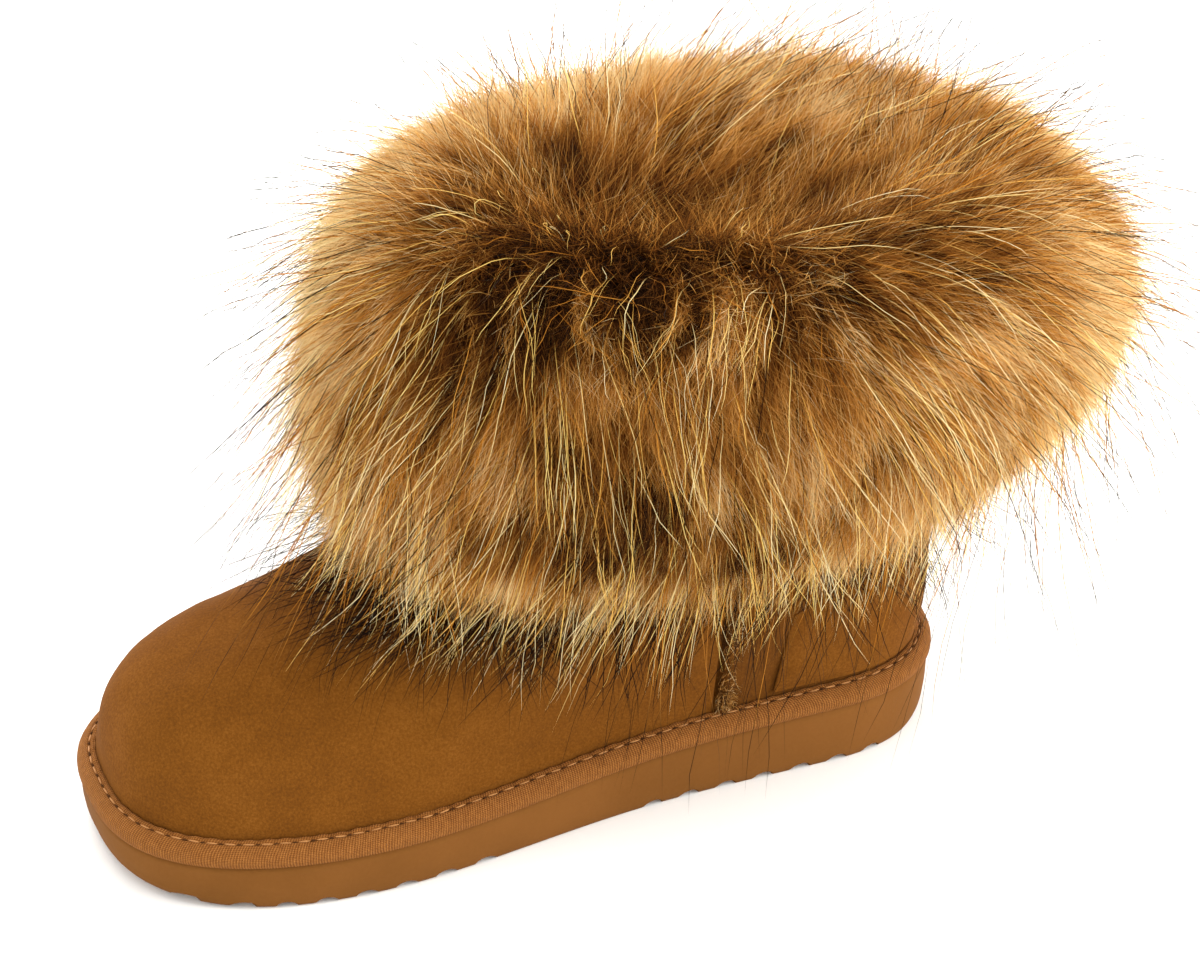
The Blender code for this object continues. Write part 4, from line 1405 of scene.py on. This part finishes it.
darkTips = hairKind(  # black ends that lie over the suede below the hem, crowded at the front, where they also stand in for the fur's shadow on it: painted shade
    names=("fur_dark_tips",),
    strands=1500,
    segments=5,
    tufts=600,
    zone=(0.82, 0.96),
    crowd=(0.65, 0.6, 2.5),
    length=(0.034, 0.066),
    width=0.00025,
    taper=0.4,
    lift=(0.0020, 0.0080),
    fluff=(0.2, 0.006, 0.016),
    stand=(0.4, 0.05, 0.35, 0.05),
    clump=0.3,
    turn=(0.30, 0.32),
    curl=(0.50, 0.60),
    wave=(0.0002, 0.0012),
    frizz=0.0002,
    facing=1.2,
    tone=(0.08, 0.04, 0.0),
)
strays = hairKind(  # single hairs that stand far off the cuff, pale or black
    names=("fur_strays",),
    strands=2900,
    segments=7,
    tufts=300,
    zone=(0.16, 0.70),
    crowd=(1.3, 0.9, -0.75),
    length=(0.042, 0.090),
    width=0.00022,
    taper=0.5,
    lift=(0.004, 0.012),
    stand=(0.85, 0.25, 0.95, 0.12),
    clump=0.2,
    turn=(0.30, 0.30),
    curl=(0.60, 0.60),
    wave=(0.0004, 0.0020),
    frizz=0.0002,
    facing=1.2,
    tone=(0.41, 0.025, 0.0),
    dark=0.40,
)


lay = {  # how hairs gather in tufts and differ inside them
    "tuftLift": (0.6, 1.5),  # of the hair's mean height
    "tuftTone": 0.08,
    "tuftLine": (0.8, 1.6, 0.001),  # its rise along the tuft: power, share of the hair's, metres deeper
    "pull": (1.3, 0.7),  # towards the tuft: power along the hair, how much less for one that stands off
    "loose": (0.7, 0.02, 0.11),  # tangled in the throat: radians, from and to which place down
    "shorter": (0.5, 0.62, 0.88),  # towards the hem: share, from and to which place down
    "lengths": (0.65, 1.15),  # of the tuft's length
    "depth": (-0.0020, 0.0006),  # of the roots, in metres
    "gather": 0.0014,  # how closely hairs meet at a tuft's end
    "waves": (0.8, 2.4),  # along one hair
    "wavePower": 0.7,  # how soon they come to their full size
    "tuftShare": 0.3,  # of the tone comes from the tuft, the rest from the hair's own place
    "toneMiddle": 0.43,
    # hair that stands off is painted lighter, as a rim lit from behind
    "fluffGlow": 0.05,
    "darkTones": (0, 0.2),
    "widths": (0.7, 1.3),
}


def layTufts(kind, random):  # the lines that hairs gather round, and what their hairs share
    tufts, segments = kind["tufts"], kind["segments"]
    place = np.linspace(0, 1, segments + 1)
    around, down = furRoots(random, tufts, kind)
    turn = furFlow(around, down) + random.normal(0, kind["turn"][0], tufts)
    curl = random.normal(0, kind["curl"][0], tufts)
    length = random.uniform(*kind["length"], tufts)
    lift = random.uniform(*lay["tuftLift"], tufts)
    power, share, deep = lay["tuftLine"]
    heights = place**power * np.mean(kind["lift"]) * share * lift[:, None] - deep
    lines, outs = walk(around, down, turn, curl, length, segments, heights)
    lines = stand(lines, outs, length, kind, random)
    tone = furTone(around, down) + random.normal(0, lay["tuftTone"], tufts)
    return lines, turn, curl, length, lift, tone


def layHair(kind, seed, material):
    random = np.random.default_rng(seed)
    count, segments = kind["strands"], kind["segments"]
    place = np.linspace(0, 1, segments + 1)
    middle, spread, follow = kind["tone"]
    looseTurn, looseFrom, looseTo = lay["loose"]
    shortShare, shortFrom, shortTo = lay["shorter"]
    fluffShare, *fluffHigh = kind["fluff"]
    pullPower, pullLess = lay["pull"]
    lines, *shared = layTufts(kind, random)
    made = []
    for name in kind["names"]:
        around, down = furRoots(random, count, kind)
        tuft = nearest(furPoint(around, down), lines[:, 0])
        tuftTurn, tuftCurl, tuftLength, tuftLift, tuftTone = (values[tuft] for values in shared)
        loose = looseTurn * (1 - smoothStep(down, looseFrom, looseTo))
        turn = 0.5 * furFlow(around, down) + 0.5 * tuftTurn + random.normal(0, kind["turn"][1] + loose)
        curl = tuftCurl + random.normal(0, kind["curl"][1], count)
        shorter = 1 - shortShare * smoothStep(down, shortFrom, shortTo)
        length = tuftLength * random.uniform(*lay["lengths"], count) * shorter
        fluff = random.random(count) < fluffShare
        lift = random.uniform(*kind["lift"], count) * tuftLift
        lift = np.where(fluff, random.uniform(*fluffHigh, count), lift)
        heights = lift[:, None] * place + random.uniform(*lay["depth"], count)[:, None]
        paths, outs = walk(around, down, turn, curl, length, segments, heights)
        paths = stand(paths, outs, length, kind, random)
        pull = kind["clump"] * (place**pullPower)[None, :, None] * (1 - pullLess * fluff)[:, None, None]
        paths = paths + pull * (lines[tuft] + random.normal(0, lay["gather"], (count, 1, 3)) - paths)
        paths = paths + random.normal(0, kind["frizz"], paths.shape) * place[None, :, None]
        swing = random.uniform(*kind["wave"], (count, 1))
        waves, phase = random.uniform(*lay["waves"], (count, 1)), random.random((count, 1))
        aside = unit(np.cross(unit(np.gradient(paths, axis=1)), outs))
        swing = swing * np.sin(2 * np.pi * (place * waves + phase)) * place ** lay["wavePower"]
        paths = insideLimits(paths + aside * swing[:, :, None])
        *_, downPace, roundPace = furFrame(around, down)
        midAround = around + 0.5 * length * np.sin(turn) / roundPace
        midDown = down + 0.5 * length * np.cos(turn) / downPace
        tone = lay["tuftShare"] * tuftTone + (1 - lay["tuftShare"]) * furTone(midAround, midDown)
        tone = middle + follow * (tone - lay["toneMiddle"])
        tone = tone + random.normal(0, spread, count) + lay["fluffGlow"] * fluff
        tone = np.where(random.random(count) < kind["dark"], random.uniform(*lay["darkTones"], count), tone)
        widths = kind["width"] * (1 - kind["taper"] * place**2) * random.uniform(*lay["widths"], (count, 1))
        spin = random.uniform(-kind["facing"], kind["facing"], count)
        made.append(ribbons(name, paths, outs, tone, widths, spin, material))
        print(name, "made")
    return made


coats = {  # tones from dark to light, painted shade from root to tip, gloss, how far light comes through
    "wool": [
        (0.0, "#1e1108"),
        (0.20, "#4c2d14"),
        (0.40, "#8f5822"),
        (0.60, "#c5893d"),
        (0.80, "#f0b965"),
        (1.0, "#ffe5ac"),
    ],
    "woolRootShade": [(0.0, "#a08c76"), (0.35, "#ddd2c2"), (0.8, "#ffffff"), (1.0, "#ffffff")],
    "guard": [
        (0.0, "#120b06"),
        (0.20, "#2a180a"),
        (0.32, "#a8691e"),
        (0.6, "#f8b24c"),
        (0.85, "#ffdf82"),
        (1.0, "#fff3c4"),
    ],
    "guardRootShade": [(0.0, "#8c7656"), (0.4, "#e8dcc4"), (0.8, "#ffffff"), (1.0, "#fff4e0")],
    "black": "#1c120b",
    "guardTips": ([(0.6, "#000000"), (0.78, "#ffffff")], [(0.45, "#ffffff"), (0.5, "#000000")]),
}


def makeFur():
    # the tips are painted lighter, most on the loose wool, as a glow of light from behind
    soft = hairMaterial("raccoon underwool", coats["wool"], coats["woolRootShade"], 0.8, 0.5, tipGlow=0.06)
    airy = hairMaterial("loose underwool", coats["wool"], coats["woolRootShade"], 0.8, 0.65, tipGlow=0.42)
    long = hairMaterial("long guard hair", coats["guard"], coats["guardRootShade"], 0.4, 0.4, coats["guardTips"])
    pieces = [makeBulk(soft)] + layHair(wool, 7, soft) + layHair(fuzz, 12, airy) + layHair(guard, 8, long)
    for piece in pieces + layHair(darkTips, 9, long) + layHair(strays, 10, long):
        join(piece, "fur_cuff")


# Raw wool edge: the fleece shows as a rough fringe down the heel side of each side seam

fringe = {
    "hairs": 800,  # at each seam
    "segments": 3,
    "length": (0.0020, 0.0042),
    "width": 0.00030,
    "taper": 0.6,
    "facing": 1.2,
    "reach": (0.4, 0.0036),  # spread, metres
    "narrows": (1.4, 1.6),  # the share of its reach at the foot, and the loss for a whole rise
    "shift": 0.0010,  # off the gap, to the heel side
    "rise": (0.04, 0.44),  # from and to which rise of the upper
    "foot": 0.3,  # the share that makes a lump at the seam's foot
    "footRise": (0.03, 0.07),
    "spread": (0.4, 0.9, 0.7),  # of its ways: across, along and up
    "lean": (0, 0.25, 0.1),
    "bend": 0.0009,
    "deep": 0.0008,  # its roots, in the hide
    "tones": [(0.0, "#4a2f18"), (0.4, "#8f6230"), (0.8, "#c4924e"), (1.0, "#d8bc8c")],
    "toneSpread": (1.6, 1.4),
    # painted shade towards the root
    "roots": [(0.0, "#c0a888"), (1.0, "#ffffff")],
    "seed": 17,
}


def makeFringe():
    random = np.random.default_rng(fringe["seed"])
    count, segments = fringe["hairs"], fringe["segments"]
    (spread, reach), (wide, narrower) = fringe["reach"], fringe["narrows"]
    place = np.linspace(0, 1, segments + 1)[None, :, None]
    paths, outs = [], []
    for side in (1, -1):
        foot = random.random(count) < fringe["foot"]
        footRise, rise = random.uniform(*fringe["footRise"], count), random.uniform(*fringe["rise"], count)
        rise = np.where(foot, footRise, rise)
        low = upperPoint(np.full(count, upper["seamAngle"]), rise)[:, 2]
        off = np.abs(random.normal(0, spread, count)) * reach * (wide - narrower * rise)
        angle = angleAt(seamPlace(low) + fringe["shift"] + off, rise) * side
        root, out = upperPoint(angle, rise), upperNormal(angle, rise)
        way = unit(random.normal(0, 1, (count, 3)) * fringe["spread"] + out * 0.9 + fringe["lean"])
        bend = random.normal(0, fringe["bend"], (count, 1, 3)) * np.sin(np.pi * place)
        length = random.uniform(*fringe["length"], count)[:, None, None]
        paths.append((root - fringe["deep"] * out)[:, None] + way[:, None] * length * place + bend)
        outs.append(np.repeat(out[:, None], segments + 1, axis=1))
    paths, outs = np.concatenate(paths), np.concatenate(outs)
    raw = hairMaterial("raw wool edge", fringe["tones"], fringe["roots"], 0.8, 0.25)
    tone = random.beta(*fringe["toneSpread"], len(paths))
    thin = 1 - fringe["taper"] * place[:, :, 0] ** 2
    widths = fringe["width"] * thin * random.uniform(*lay["widths"], (len(paths), 1))
    spin = random.uniform(-fringe["facing"], fringe["facing"], len(paths))
    piece = ribbons("seam_wool", paths, outs, tone, widths, spin, raw)
    print("fringe made")
    return join(piece, "upper")


makeStage()
makeUpper()
makeFringe()
makeOutsole()
makeTape()
makeStitches()
makeCounter()
makeBadge()
makeInsole()
makeFur()
